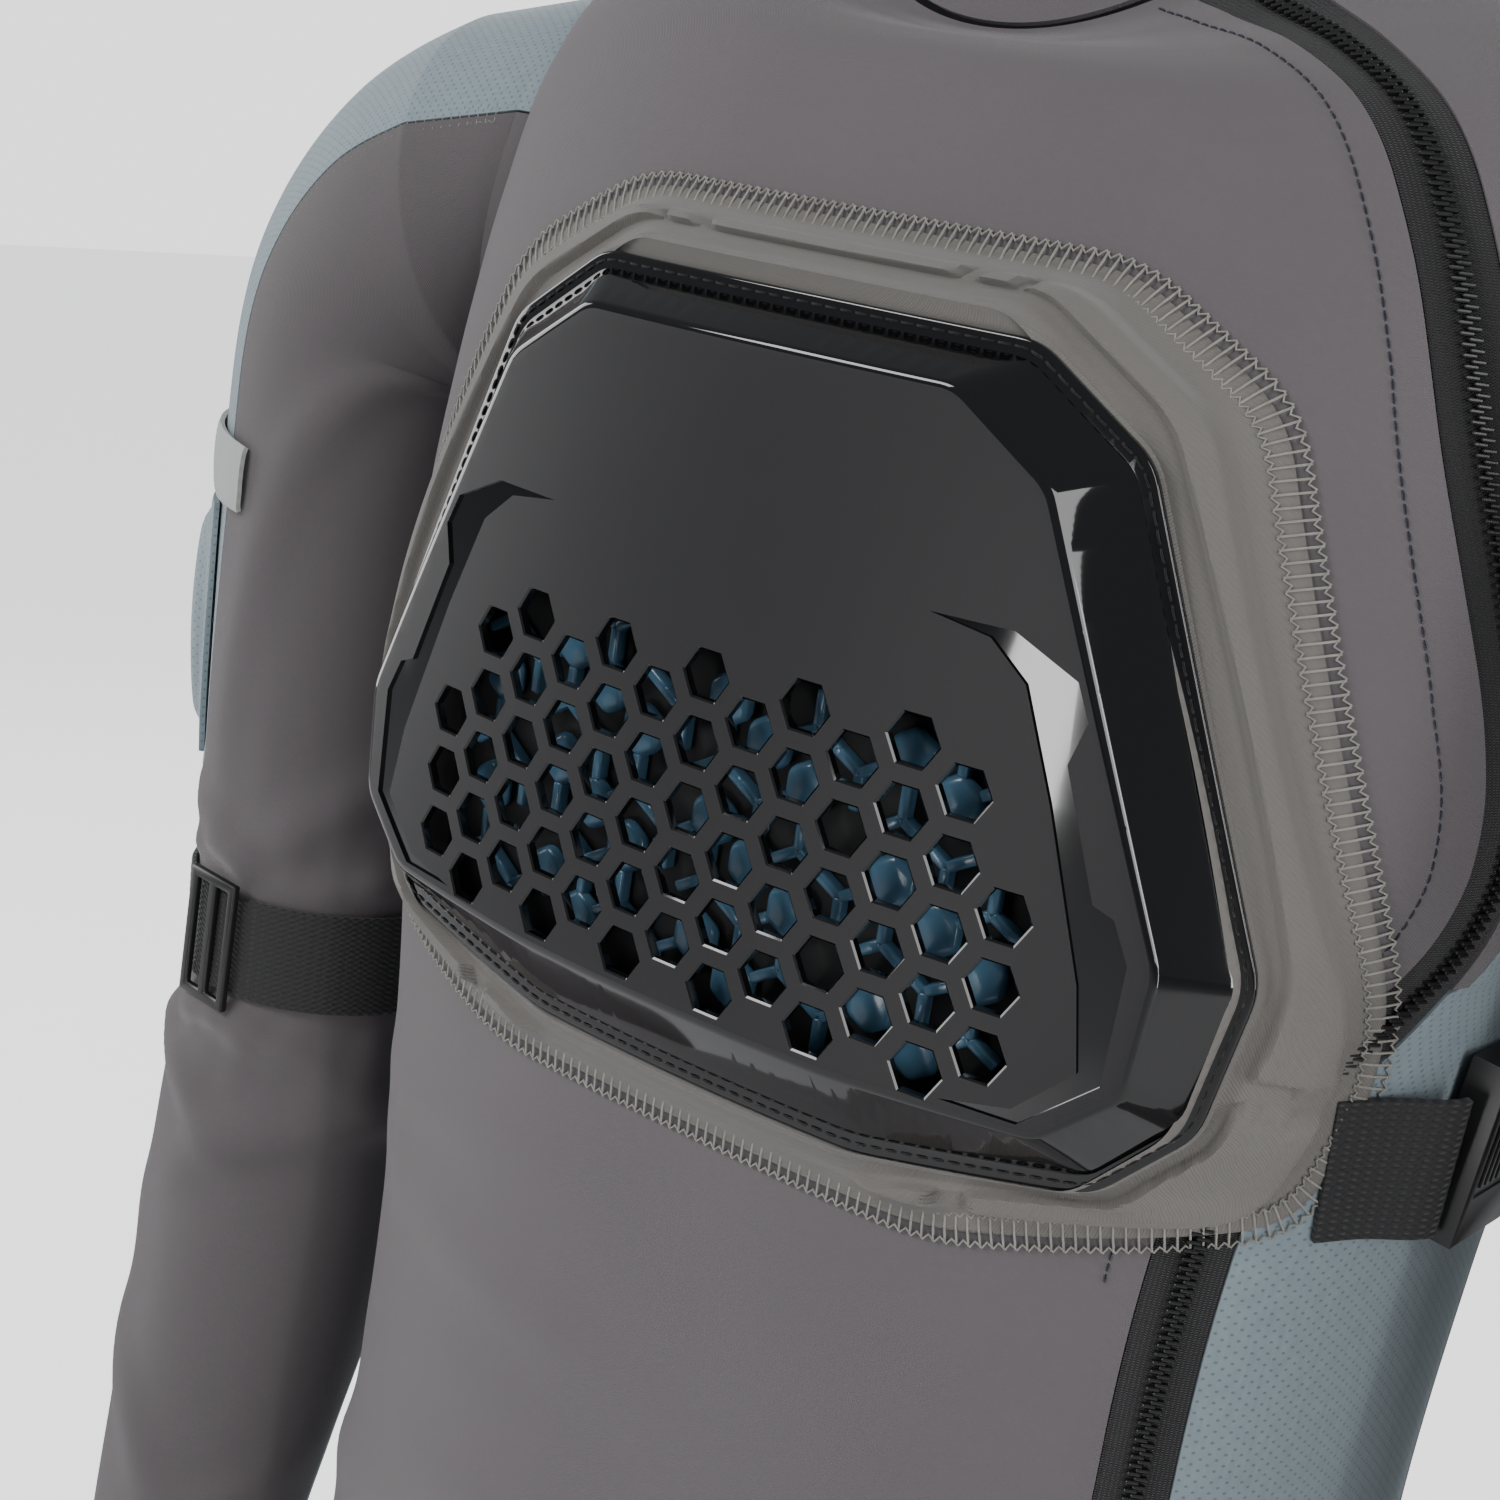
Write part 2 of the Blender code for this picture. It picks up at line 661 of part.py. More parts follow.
def make_pad():
    """Moulded fabric pad: sunk margin beside the plate, raised band, flat sewn edge."""
    under = offset_outline(OUTER, 3 * GAP)
    beside = offset_outline(OUTER, 3 * GAP + 0.1 * PAD_MARGIN)
    margin = offset_outline(OUTER, PAD_MARGIN)
    front = [ring_of(shrink(OUTER, share), PAD_FACE) for share in (0.3, 0.6, 0.85)]
    front += [ring_of(under, PAD_FACE), ring_of(beside, PLATE_DEPTH),
              ring_of(margin, PLATE_DEPTH)]
    edge_points = [pad_edge_point(arc, t, CLOTH + LAY + PAD_EDGE) for arc, t in PAD_OUTLINE]
    ledge_outline = shrink(PAD_OUTLINE, 0.955)
    ledge = [pad_edge_point(arc, t, CLOTH + LAY + PAD_EDGE * 1.1) for arc, t in ledge_outline]
    crest = []
    for low, high in zip(front[-1], ledge):
        lift = high + (low - high) * 0.30
        crest.append(lift + outward(lift) * PAD_BAND * 1.6)
    inner_crest = []
    for low, high in zip(front[-1], ledge):
        lift = low + (high - low) * 0.16
        inner_crest.append(lift + outward(lift) * PAD_BAND)
    front += [inner_crest, crest, ledge, edge_points]
    back = []
    for ring in (edge_points, ledge, crest, front[3], front[2], front[1], front[0]):
        back.append([pad_back(point) for point in ring])
    rings = front + back
    middle = armour_point(*MIDDLE, PAD_FACE)
    loft_rings("chest_pad", rings, middle, pad_back(middle), "pad")


def pad_edge_point(arc, t, off):
    row = row_at(ARMOUR_LEVEL + t)
    return body_point(arc_turn(arc, row), row, off)


def body_here(point):
    """Turn and row of the body below a point in front of it, by height and bearing."""
    row = row_at(point[2])
    turns = np.linspace(0, 1.2, 121)
    bearing = math.atan2(abs(point[0]), -point[1])
    bearings = []
    for turn in turns:
        place = body_surface(turn, row)
        bearings.append(math.atan2(place[0], -place[1]))
    turn = float(np.interp(bearing, bearings, turns))
    return math.copysign(turn, point[0]) if point[0] else turn, row


def outward(point):
    turn, row = body_here(point)
    off = body_point(turn, row, 1.0) - body_surface(turn, row)
    return off / np.linalg.norm(off)


def pad_back(point):
    """Place on the pad's back behind a point of its front."""
    turn, row = body_here(point)
    base = body_surface(turn, row)
    height = float(np.dot(point - base, body_point(turn, row, 1.0) - base))
    return body_point(turn, row, min(CLOTH + LAY, height - PAD_LEAST))


def curved_sheet(name, columns, near, deep, kind):
    """A sheet on the armour's curve from upright strips: columns hold s, low and high."""
    points = []
    for s, low, high in columns:
        points += [armour_point(s, low, near), armour_point(s, high, near),
                   armour_point(s, high, deep), armour_point(s, low, deep)]
    faces = grid_faces(len(columns), 4, closed=True, flip=True)
    last = 4 * (len(columns) - 1)
    faces += [(0, 1, 2, 3), (last + 3, last + 2, last + 1, last)]
    return mesh_object(name, points, faces, kind)


def make_liner():
    """Lattice behind the vents and the dark sheet behind it."""
    shares = np.linspace(-1, 1, LINER_STRIPS + 1)
    columns = []
    for share in shares:
        corner = max(0.0, abs(share) - 0.78) / 0.22
        low = LINER_MIDDLE - LINER_HALF_HEIGHT * (1 - 0.42 * corner)
        high = LINER_MIDDLE + LINER_HALF_HEIGHT * (1 - 0.55 * corner)
        columns.append((share * LINER_HALF_WIDTH, low, high))
    back = PLATE_DEPTH + PLATE_WALL * 0.8
    front = back - BACKING_WALL
    curved_sheet("vent_backing", columns, front, back, "webbing")
    near = front - GAP - LINER_WALL
    liner = curved_sheet("vent_liner", columns, near, front - GAP, "liner")
    gaps = []
    for column in range(-3, 4):
        for row in range(-2, 3):
            s = column * LINER_CELL * math.sqrt(3) / 2
            t = LINER_MIDDLE + (row + 0.5 * (column % 2)) * LINER_CELL
            if abs(t - LINER_MIDDLE) < LINER_HALF_HEIGHT - 0.55 * LINER_CELL:
                gaps.append(prism("gap", hexagon(s, t, LINER_CELL * 0.78), 0.5 * near, back))
    cut(liner, join_as_cutter("lattice_cutter", gaps))


def armhole_centre():
    return np.array([0.0, ARMHOLE_BACK, ARMPIT_LEVEL + BEND_RADIUS + ARMHOLE_HALF_HEIGHT])


def armhole_cutters():
    """Oval prisms that open both armholes."""
    cutters = []
    for side in (-1, 1):
        centre = armhole_centre()
        rings = []
        for share in ARMHOLE_REACH:
            reach = share * HALF_CHEST
            ring = []
            for k in range(ARMHOLE_SIDES):
                angle = 2 * math.pi * k / ARMHOLE_SIDES
                ring.append(centre + np.array([side * reach,
                                               ARMHOLE_HALF_DEPTH * math.sin(angle),
                                               ARMHOLE_HALF_HEIGHT * math.cos(angle)]))
            rings.append(ring)
        caps = [centre + np.array([side * share * HALF_CHEST, 0, 0]) for share in ARMHOLE_REACH]
        cutters.append(loft_rings("armhole", rings, caps[0], caps[1], None))
    cutter = join_as_cutter("armhole_cutter", cutters)
    for name in ("front_body", "back_body", "side_panel_right", "side_panel_left",
                 "front_left_panel"):
        cut(bpy.data.objects[name], cutter)


def side_reach(y, z):
    """How far out the body's inner face is at a place in the armhole."""
    row = row_at(z)
    width, front, back, square = body_row(row)[1:5]
    depth = front * FRONT_DEPTH if y < 0 else back * BACK_DEPTH
    share = min(abs(y) / depth, 0.99)
    return width * HALF_CHEST * (1 - share ** square) ** (1 / square)


def sleeve_sections(side):
    """Centre, up and across vectors and half sizes of each sleeve section after the root."""
    hang = ARM_HANG[0] if side < 0 else ARM_HANG[1]
    sections = []
    for turn, across, deep, forward in SHOULDER:
        angle = math.radians(turn)
        up = np.array([side * math.sin(angle), 0, math.cos(angle)])
        half = across * ARM_RADIUS
        centre = np.array([side * ARMPIT_REACH, -forward * ARM_RADIUS, ARMPIT_LEVEL])
        centre = centre + up * (BEND_RADIUS + half)
        sections.append((centre, up, half, deep * ARM_RADIUS))
    start = sections[-1][0]
    lean = math.radians(SHOULDER[-1][0])
    for drop, across, deep, inward, forward in ARM:
        fall = drop * ARM_LENGTH
        straight = min(1.0, drop / 0.19)
        angle = lean + (math.radians(90) - lean) * straight
        up = np.array([side * math.sin(angle), 0, math.cos(angle)])
        x = abs(start[0]) - (inward - 0.08) * ARM_RADIUS + hang * fall
        centre = np.array([side * x, -forward * ARM_RADIUS, start[2] - fall])
        sections.append((centre, up, across * ARM_RADIUS, deep * ARM_RADIUS))
    return sections


SLEEVES = {-1: sleeve_sections(-1), 1: sleeve_sections(1)}


def section_at(side, station):
    """Section between two of the sleeve's rows. Station 2 is the first after the root."""
    sections = SLEEVES[side]
    place = min(max(station - 2, 0), len(sections) - 1)
    low = min(int(place), len(sections) - 2)
    share = place - low
    first, second = sections[low], sections[low + 1]
    return tuple(a + (b - a) * share for a, b in zip(first, second))


def sleeve_surface(side, angle, station, off=0.0):
    """Point of a sleeve's inner face. Angle is 0 at the front and 90 on the outside.

    Stations 0 and 1 are the root on the body's wall and its collar just outside it.
    """
    turn = math.radians(angle)
    fore = -math.cos(turn)
    out = math.sin(turn)
    if station >= 2:
        centre, up, half, deep = section_at(side, station)
        up = up / np.linalg.norm(up)
        return centre + up * out * (half + off) + np.array([0, fore * (deep + off), 0])
    centre = armhole_centre()
    inset = CLOTH + SEAM_AIR - off
    y = centre[1] + fore * (ARMHOLE_HALF_DEPTH - inset)
    z = centre[2] + out * (ARMHOLE_HALF_HEIGHT - inset)
    reach = side_reach(y, z)
    root = np.array([side * (reach + ROOT_AIR + ROOT_COLLAR * min(station, 1)), y, z])
    if station <= 1:
        return root
    return root + (sleeve_surface(side, angle, 2, off) - root) * (station - 1)


CAP_END = 6.25          # station of the shoulder cap's lower edge
CUFF = len(ARM) + len(SHOULDER) + 1
STRAP_STATION = 9.45    # middle of the elbow strap
# Seams round a sleeve in degrees from the front, by station
STRIP_FRONT = np.array([(0, 22), (6.25, 22), (8, 38), (9.5, 52), (CUFF, 48)])
STRIP_BACK = 112
UNDER_FRONT = 242
UNDER_BACK = 200


def strip_front(station):
    return float(np.interp(station, STRIP_FRONT[:, 0], STRIP_FRONT[:, 1]))


def sleeve_panel(name, side, stations, start, end, columns, kind, off=0.0, wall=CLOTH):
    """A cloth panel of a sleeve between two seams."""
    points = []
    for station in stations:
        first = start(station)
        last = end(station)
        for col in range(columns + 1):
            angle = first + (last - first) * col / columns
            points.append(sleeve_surface(side, angle, station, off))
    faces = grid_faces(len(stations), columns + 1, flip=side > 0)
    return thicken(mesh_object(name, points, faces, kind), wall)


def degrees_gap(clear=GAP):
    return math.degrees(clear / ARM_RADIUS)


def make_sleeve(side):
    tail = "_right" if side < 0 else "_left"
    gap = degrees_gap()
    stations = [0, 1, 2, 3, 4, 5, 6, CAP_END, 7, 8, 9, 10, 12, 14, CUFF]
    sleeve_panel("sleeve_front" + tail, side, stations, lambda s: UNDER_FRONT - 360 + gap,
                 lambda s: strip_front(s) - gap, 7, "twill")
    sleeve_panel("sleeve_back" + tail, side, stations, lambda s: STRIP_BACK + gap,
                 lambda s: UNDER_BACK - gap, 4, "twill")
    sleeve_panel("sleeve_under" + tail, side, stations, lambda s: UNDER_BACK + gap,
                 lambda s: UNDER_FRONT - gap, 2, "mesh")
    cap = [s for s in stations if s <= CAP_END]
    strip = [s for s in stations if s >= CAP_END]
    strip[0] = CAP_END + 0.01
    sleeve_panel("shoulder_cap" + tail, side, cap, lambda s: strip_front(s) + gap,
                 lambda s: STRIP_BACK - gap, 4, "mesh")
    sleeve_panel("sleeve_strip" + tail, side, strip, lambda s: strip_front(s) + gap,
                 lambda s: STRIP_BACK - gap, 4, "mesh")
    lift = CLOTH + TRIM_AIR
    sleeve_panel("cap_hem" + tail, side, [CAP_END - 0.30, CAP_END - 0.1, CAP_END + 0.12],
                 lambda s: strip_front(s) - 14, lambda s: STRIP_BACK + 6, 7, "light", lift,
                 CLOTH * 0.8)
    make_arm_pad(side, tail, lift)
    half = ELBOW_STRAP_WIDTH / 2 / (ARM_LENGTH * 0.08)
    span = [STRAP_STATION - half, STRAP_STATION, STRAP_STATION + half]
    make_ring_band("elbow_strap" + tail, side, span, lift)
    make_slider(side, tail, lift + STRAP_WALL + GAP)


def make_ring_band(name, side, stations, off):
    """A closed elastic band round a sleeve."""
    count = 20
    angles = [360 * k / count for k in range(count)]
    rings = []
    for lift, order in ((0, stations), (STRAP_WALL, stations[::-1])):
        for station in order:
            rings.append([sleeve_surface(side, a, station, off + lift) for a in angles])
    rings.append(rings[0])
    points = [p for ring in rings[:-1] for p in ring]
    faces = []
    rows = len(rings) - 1
    for row in range(rows):
        for col in range(count):
            a = row * count + col
            b = row * count + (col + 1) % count
            c = ((row + 1) % rows) * count + (col + 1) % count
            d = ((row + 1) % rows) * count + col
            quad = (a, b, c, d)
            faces.append(quad if side > 0 else quad[::-1])
    mesh_object(name, points, faces, "webbing")


def make_arm_pad(side, tail, off):
    """Oval pad low on the outside of the upper arm, thickest in its middle."""
    stations = np.linspace(CAP_END + 0.18, STRAP_STATION - 1.35, 7)
    columns = 7
    rings = []
    for index, station in enumerate(stations):
        for col in range(columns + 1):
            angle = strip_front(station) + 8 + (96 - strip_front(station)) * col / columns
            rings.append((station, angle, math.sin(math.pi * index / 6),
                          math.sin(math.pi * col / columns)))
    points = [sleeve_surface(side, a, s, off) for s, a, u, w in rings]
    points += [sleeve_surface(side, a, s, off + ARM_PAD_EDGE + ARM_PAD_CROWN * math.sqrt(u * w))
               for s, a, u, w in rings]
    width = columns + 1
    size = len(stations) * width
    inner = grid_faces(len(stations), width, flip=side < 0)
    outer = [tuple(i + size for i in f) for f in grid_faces(len(stations), width,
                                                            flip=side > 0)]
    rim = [c for c in range(width)]
    rim += [r * width + width - 1 for r in range(1, len(stations))]
    rim += [size - 1 - c for c in range(1, width)]
    rim += [r * width for r in range(len(stations) - 2, 0, -1)]
    wall = []
    for first, second in zip(rim, rim[1:] + rim[:1]):
        quad = (first, second, second + size, first + size)
        wall.append(quad if side < 0 else quad[::-1])
    mesh_object("arm_pad" + tail, points, inner + outer + wall, "mesh")


def box_on(name, centre, axes, size, kind, bevel=0.0):
    """A box from a cube primitive, turned to three axes."""
    bpy.ops.mesh.primitive_cube_add(size=1)
    made = bpy.context.object
    made.name = name
    for old in list(made.users_collection):
        old.objects.unlink(made)
    SHIRT.objects.link(made)
    frame = np.array(axes).T
    for vertex in made.data.vertices:
        place = frame @ (np.array(vertex.co) * np.array(size)) + np.array(centre)
        vertex.co = tuple(map(float, place))
    if np.linalg.det(frame) < 0:
        made.data.flip_normals()
    if bevel:
        edge = made.modifiers.new("edge", "BEVEL")
        edge.width = bevel
        edge.segments = 2
    if kind:
        made.data.materials.append(material(kind))
    return made


def local_axes(point_of):
    """Across, up and outward unit vectors of a surface given by point_of(u, v, off)."""
    middle = point_of(0, 0, 0)
    up = point_of(0, 1, 0) - point_of(0, -1, 0)
    up /= np.linalg.norm(up)
    off = point_of(0, 0, 0.01) - middle
    off /= np.linalg.norm(off)
    across = np.cross(up, off)
    across /= np.linalg.norm(across)
    off = np.cross(across, up)
    return across, up, off


def make_slider(side, tail, off):
    """Rectangular ring on the elbow strap: a frame with a bar down its middle."""
    angle = 6

    def place(u, v, lift):
        return sleeve_surface(side, angle + u, STRAP_STATION + 0.1 * v, off + lift)

    across, up, out = local_axes(place)
    thick = SLIDER_WIRE * 0.8
    stand = -GAP
    centre = place(0, 0, stand + thick / 2)
    frame = box_on("strap_slider" + tail, centre, (across, up, out),
                   (SLIDER_WIDTH, SLIDER_HEIGHT, thick), "plastic", SLIDER_WIRE * 0.25)
    window = (SLIDER_WIDTH - 3 * SLIDER_WIRE) / 2
    for share in (-1, 1):
        shift = across * share * (window + SLIDER_WIRE) / 2
        hole = box_on("window", centre + shift, (across, up, out),
                      (window, SLIDER_HEIGHT - 2 * SLIDER_WIRE, 3 * thick), None)
        cutter = join_as_cutter("slider_cutter" + tail + str(share), [hole])
        cut(frame, cutter)


WAIST_TURN = 0.930      # buckle's middle
WAIST_ROW = 4.720
WAIST_RISE = -0.30      # rows that the strap climbs towards the back, for one turn
SOCKET_LENGTH = 0.030
TONGUE_LENGTH = 0.016
BUCKLE_DEPTH = 0.010
BUCKLE_SEAT = 0.0012    # under the middle of the buckle
BUCKLE_LIFT = 0.0075    # how far the strap rises into the buckle


def waist_route(start, end, count, lifts):
    """Points of the strap between two turns, lifted where it meets the buckle."""
    turns = np.linspace(start, end, count)
    return [(t, WAIST_ROW + WAIST_RISE * (WAIST_TURN - t), CLOTH + GAP + lifts.get(i, 0))
            for i, t in enumerate(turns)]


SOCKET_HEIGHT = 1.26    # of the buckle, as a share of the strap's width
CURVE_ALLOWANCE = 1.06  # the body's curve moves the strap's ends this much further out


def make_waist_strap():
    """Webbing from the pad's lower corner through a side buckle to the back."""
    reach = (SOCKET_LENGTH + TONGUE_LENGTH + 3 * GAP) / 2 / arc_size(WAIST_ROW)
    reach *= CURVE_ALLOWANCE
    front = waist_route(0.697, WAIST_TURN - reach, 6, {5: BUCKLE_LIFT, 4: 0.3 * BUCKLE_LIFT})
    strip_on_body("waist_strap_front", front, WAIST_STRAP_WIDTH, STRAP_WALL, "webbing")
    rear = waist_route(WAIST_TURN + reach, 1.62, 16, {0: BUCKLE_LIFT, 1: 0.3 * BUCKLE_LIFT})
    strip_on_body("waist_strap_rear", rear, WAIST_STRAP_WIDTH, STRAP_WALL, "webbing")

    def place(u, v, lift):
        return body_point(WAIST_TURN + 0.02 * u, WAIST_ROW + 0.1 * v, CLOTH + lift)

    across, up, out = local_axes(place)
    centre = place(0, 0, BUCKLE_SEAT + BUCKLE_DEPTH / 2)
    height = WAIST_STRAP_WIDTH * SOCKET_HEIGHT
    box_on("buckle_socket", centre - across * (TONGUE_LENGTH + GAP) / 2, (across, up, out),
           (SOCKET_LENGTH, height, BUCKLE_DEPTH), "plastic", 0.2 * BUCKLE_DEPTH)
    box_on("buckle_tongue", centre + across * (SOCKET_LENGTH + GAP) / 2, (across, up, out),
           (TONGUE_LENGTH, height, BUCKLE_DEPTH * 0.8), "plastic", 0.2 * BUCKLE_DEPTH)


def make_zipper_pull():
    """Slider and pull at the top of the zipper."""
    row = NECK_ROW + PULL_ROW

    def place(u, v, lift):
        return body_point(zipper_turn(row) + 0.02 * u, row + 0.35 * v,
                          TEETH_LIFT + TEETH_HEIGHT + lift)

    across, up, out = local_axes(place)
    centre = place(0, 0, PULL_THICK / 2 + 2 * GAP)
    box_on("zipper_pull", centre, (across, up, out),
           (TEETH_WIDTH * 1.2, PULL_LENGTH, PULL_THICK), "plastic", PULL_THICK / 4)


make_body()
make_collar()
make_zipper()
make_zipper_pull()
make_plate()
make_pad()
make_liner()
make_waist_strap()
for arm_side in (-1, 1):
    make_sleeve(arm_side)
armhole_cutters()
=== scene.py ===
# %% [markdown]
# Armored riding shirt
#
# The shirt is stretch cloth sewn from panels, with a moulded chest plate on a sewn foam pad, pads and
# elastic straps on the arms, and a webbing strap with a side buckle. The solids of the frame give each
# piece its place. Here every piece gets its finished surface, on the same rules of shape as the solids.

# %% Start: load the frame and keep its box
import math

import bmesh
import bpy
import numpy as np
from mathutils import Matrix, Vector


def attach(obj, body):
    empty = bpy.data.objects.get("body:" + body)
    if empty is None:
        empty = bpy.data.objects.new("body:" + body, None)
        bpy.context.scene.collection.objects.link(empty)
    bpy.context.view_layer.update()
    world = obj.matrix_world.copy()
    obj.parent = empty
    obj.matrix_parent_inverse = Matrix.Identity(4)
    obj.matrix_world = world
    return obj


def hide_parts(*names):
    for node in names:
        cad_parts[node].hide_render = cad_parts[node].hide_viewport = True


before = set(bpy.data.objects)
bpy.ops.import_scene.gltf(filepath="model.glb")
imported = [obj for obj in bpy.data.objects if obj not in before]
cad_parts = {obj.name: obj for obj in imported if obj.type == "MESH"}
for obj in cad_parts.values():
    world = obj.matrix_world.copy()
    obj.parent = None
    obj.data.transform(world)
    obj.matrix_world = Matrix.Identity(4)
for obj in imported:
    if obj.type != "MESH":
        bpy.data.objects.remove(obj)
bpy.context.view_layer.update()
bpy.ops.object.select_all(action="DESELECT")
print("frame loaded:", len(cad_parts), "nodes")

# %% [markdown]
# The camera stands to the wearer's left front, a little above the chest, and is tipped by nine degrees.
# It is made first.

# %% Camera
CAMERA_YAW = 0.624
CAMERA_PITCH = 0.2663
CAMERA_ROLL = 0.1523
CAMERA_PLACE = (0.3379, -0.5766, -0.0640)
SENSOR = 36.0
LENS = 57.6


def camera_axes(yaw, pitch, roll):
    """Right, up and back unit vectors of the camera."""
    back = Vector((math.sin(yaw) * math.cos(pitch), -math.cos(yaw) * math.cos(pitch), math.sin(pitch)))
    right = Vector((math.cos(yaw), math.sin(yaw), 0))
    up = back.cross(right)
    turned_right = math.cos(roll) * right + math.sin(roll) * up
    turned_up = -math.sin(roll) * right + math.cos(roll) * up
    return turned_right, turned_up, back


bpy.ops.object.camera_add()
camera = bpy.context.object
camera.name = "photo_camera"
camera.data.lens = LENS
camera.data.sensor_width = SENSOR
camera.data.dof.use_dof = False
camera.matrix_world = Matrix.Translation(CAMERA_PLACE) @ Matrix(
    camera_axes(CAMERA_YAW, CAMERA_PITCH, CAMERA_ROLL)).transposed().to_4x4()
bpy.context.scene.camera = camera
print("camera at", CAMERA_PLACE)

# %% [markdown]
# A shirt is measured on a table: length, half chest, neck dip. The same few sizes drive the solids, so
# the surfaces made here lie exactly where the solids are. All lengths are metres.

# %% Sizes of the shirt
CLOTH = 0.002
GAP = 0.0003
LENGTH = 0.680
HALF_CHEST = 0.172
FRONT_DEPTH = 0.1065
BACK_DEPTH = 0.112
NECK_DIP = 0.042
SIDE_SEAM = 0.88
BACK_SEAM = 1.14
ARMHOLE_HALF_HEIGHT = 0.064
ARMHOLE_HALF_DEPTH = 0.056
ARMHOLE_BACK = 0.006
BEND_RADIUS = 0.008
ARMPIT_LEVEL = -0.176
ARMPIT_REACH = 0.177
ARM_LENGTH = 0.460
ARM_RADIUS = 0.052
ARM_HANG = {-1: 0.005, 1: 0.145}
SEAM_AIR = 0.0007
ROOT_COLLAR = 0.006
ROOT_AIR = 0.0005
TRIM_AIR = 0.0009

# Levels of the body: shares of the sizes above, the section's squareness, and the dip of the front.
BODY_COLUMNS = ("drop", "width", "front", "back", "square", "dip")
BODY = np.array([
    (1.000, 1.050, 1.110, 1.020, 2.7, 0.00),
    (0.880, 1.000, 1.070, 0.960, 2.7, 0.00),
    (0.740, 0.955, 1.015, 0.910, 2.7, 0.00),
    (0.620, 0.930, 0.985, 0.890, 2.8, 0.00),
    (0.500, 0.945, 0.985, 0.910, 2.9, 0.00),
    (0.380, 0.985, 1.000, 0.950, 3.0, 0.00),
    (0.295, 1.000, 1.000, 0.985, 3.0, 0.00),
    (0.220, 1.000, 0.960, 1.000, 2.8, 0.00),
    (0.150, 0.990, 0.875, 0.980, 2.6, 0.03),
    (0.098, 0.960, 0.780, 0.930, 2.5, 0.12),
    (0.060, 0.885, 0.700, 0.860, 2.4, 0.30),
    (0.034, 0.745, 0.620, 0.775, 2.3, 0.55),
    (0.014, 0.565, 0.545, 0.690, 2.2, 0.85),
    (0.000, 0.425, 0.485, 0.610, 2.1, 1.00),
    (-0.022, 0.385, 0.455, 0.560, 2.0, 1.00),
    (-0.050, 0.380, 0.450, 0.545, 2.0, 1.00),
])
NECK_ROW = 13
COLLAR_ROW = 15
print("body table:", len(BODY), "levels of", ", ".join(BODY_COLUMNS))

# %% [markdown]
# Each level of the trunk is a rounded square that is deeper at the back. Between two levels the sizes
# follow a smooth curve. A place on the cloth is a turn (0 front, 1 side, 2 back) and a row.

# %% Shape of the trunk
QUARTER = np.radians(np.linspace(0, 90, 181))
SECTIONS = {}


def smooth_row(table, row):
    """Values of a table between its rows, by a smooth curve through them."""
    last = len(table) - 1
    row = min(max(row, 0.0), last)
    low = min(int(row), last - 1)
    share = row - low
    before, start = table[max(low - 1, 0)], table[low]
    end, after = table[low + 1], table[min(low + 2, last)]
    s2 = share * share
    s3 = s2 * share
    return ((2 * s3 - 3 * s2 + 1) * start + (s3 - 2 * s2 + share) * (end - before) / 2
            + (3 * s2 - 2 * s3) * end + (s3 - s2) * (after - start) / 2)


def section(row):
    """Front and back quarters of a level as x, y and length along, with its height and dip."""
    key = round(float(row), 5)
    if key not in SECTIONS:
        drop, width, front, back, square, dip = smooth_row(BODY, key)
        quarters = []
        for depth, side in ((front * FRONT_DEPTH, -1), (back * BACK_DEPTH, 1)):
            across = np.sin(QUARTER) / (width * HALF_CHEST)
            along = np.cos(QUARTER) / depth
            radius = (np.abs(across) ** square + np.abs(along) ** square) ** (-1 / square)
            x = radius * np.sin(QUARTER)
            y = side * radius * np.cos(QUARTER)
            run = np.concatenate([[0], np.cumsum(np.hypot(np.diff(x), np.diff(y)))])
            quarters.append((x, y, run))
        SECTIONS[key] = (quarters, -drop * LENGTH, dip * NECK_DIP, front * FRONT_DEPTH)
    return SECTIONS[key]


def body_line(turns, row):
    """Points of the inner face along one level."""
    quarters, level, dip, depth = section(row)
    turns = (np.asarray(turns, float) + 2) % 4 - 2
    share = np.abs(turns)
    mirror = np.where(turns < 0, -1.0, 1.0)
    (front_x, front_y, front_run), (back_x, back_y, back_run) = quarters
    near = np.clip(share, 0, 1) * front_run[-1]
    far = np.clip(2 - share, 0, 1) * back_run[-1]
    front = share <= 1
    x = np.where(front, np.interp(near, front_run, front_x), np.interp(far, back_run, back_x))
    y = np.where(front, np.interp(near, front_run, front_y), np.interp(far, back_run, back_y))
    lean = np.maximum(0, -y / depth)
    return np.stack([mirror * x, y, level - dip * lean * lean], axis=-1)


def unit(vectors):
    return vectors / np.linalg.norm(vectors, axis=-1, keepdims=True)


def body_normals(turns, row):
    small = 0.01
    across = body_line(np.asarray(turns) + small, row) - body_line(np.asarray(turns) - small, row)
    low = max(row - 5 * small, 0)
    high = min(row + 5 * small, COLLAR_ROW)
    return unit(np.cross(across, body_line(turns, high) - body_line(turns, low)))


def on_body(turns, row, off):
    """Points at a distance off the inner face."""
    turns = np.atleast_1d(turns)
    return body_line(turns, row) + np.reshape(off, (-1, 1)) * body_normals(turns, row)


def arc_size(row):
    """Length of arc for one unit of turn at the front."""
    return section(row)[0][0][2][-1]


LEVELS = np.linspace(0, NECK_ROW, 1041)
HEIGHTS = np.array([-smooth_row(BODY, r)[0] * LENGTH for r in LEVELS])


def row_at(height):
    return float(np.interp(height, HEIGHTS, LEVELS))


print("front of the chest at", np.round(on_body([0.0], 6, CLOTH)[0], 4))

# %% [markdown]
# The sleeves are tubes on a bent axis. They leave an oval armhole, turn down over the shoulder and taper
# to the cuff. A place on a sleeve is an angle (0 front, 90 outside) and a station (0 root, 15 cuff).

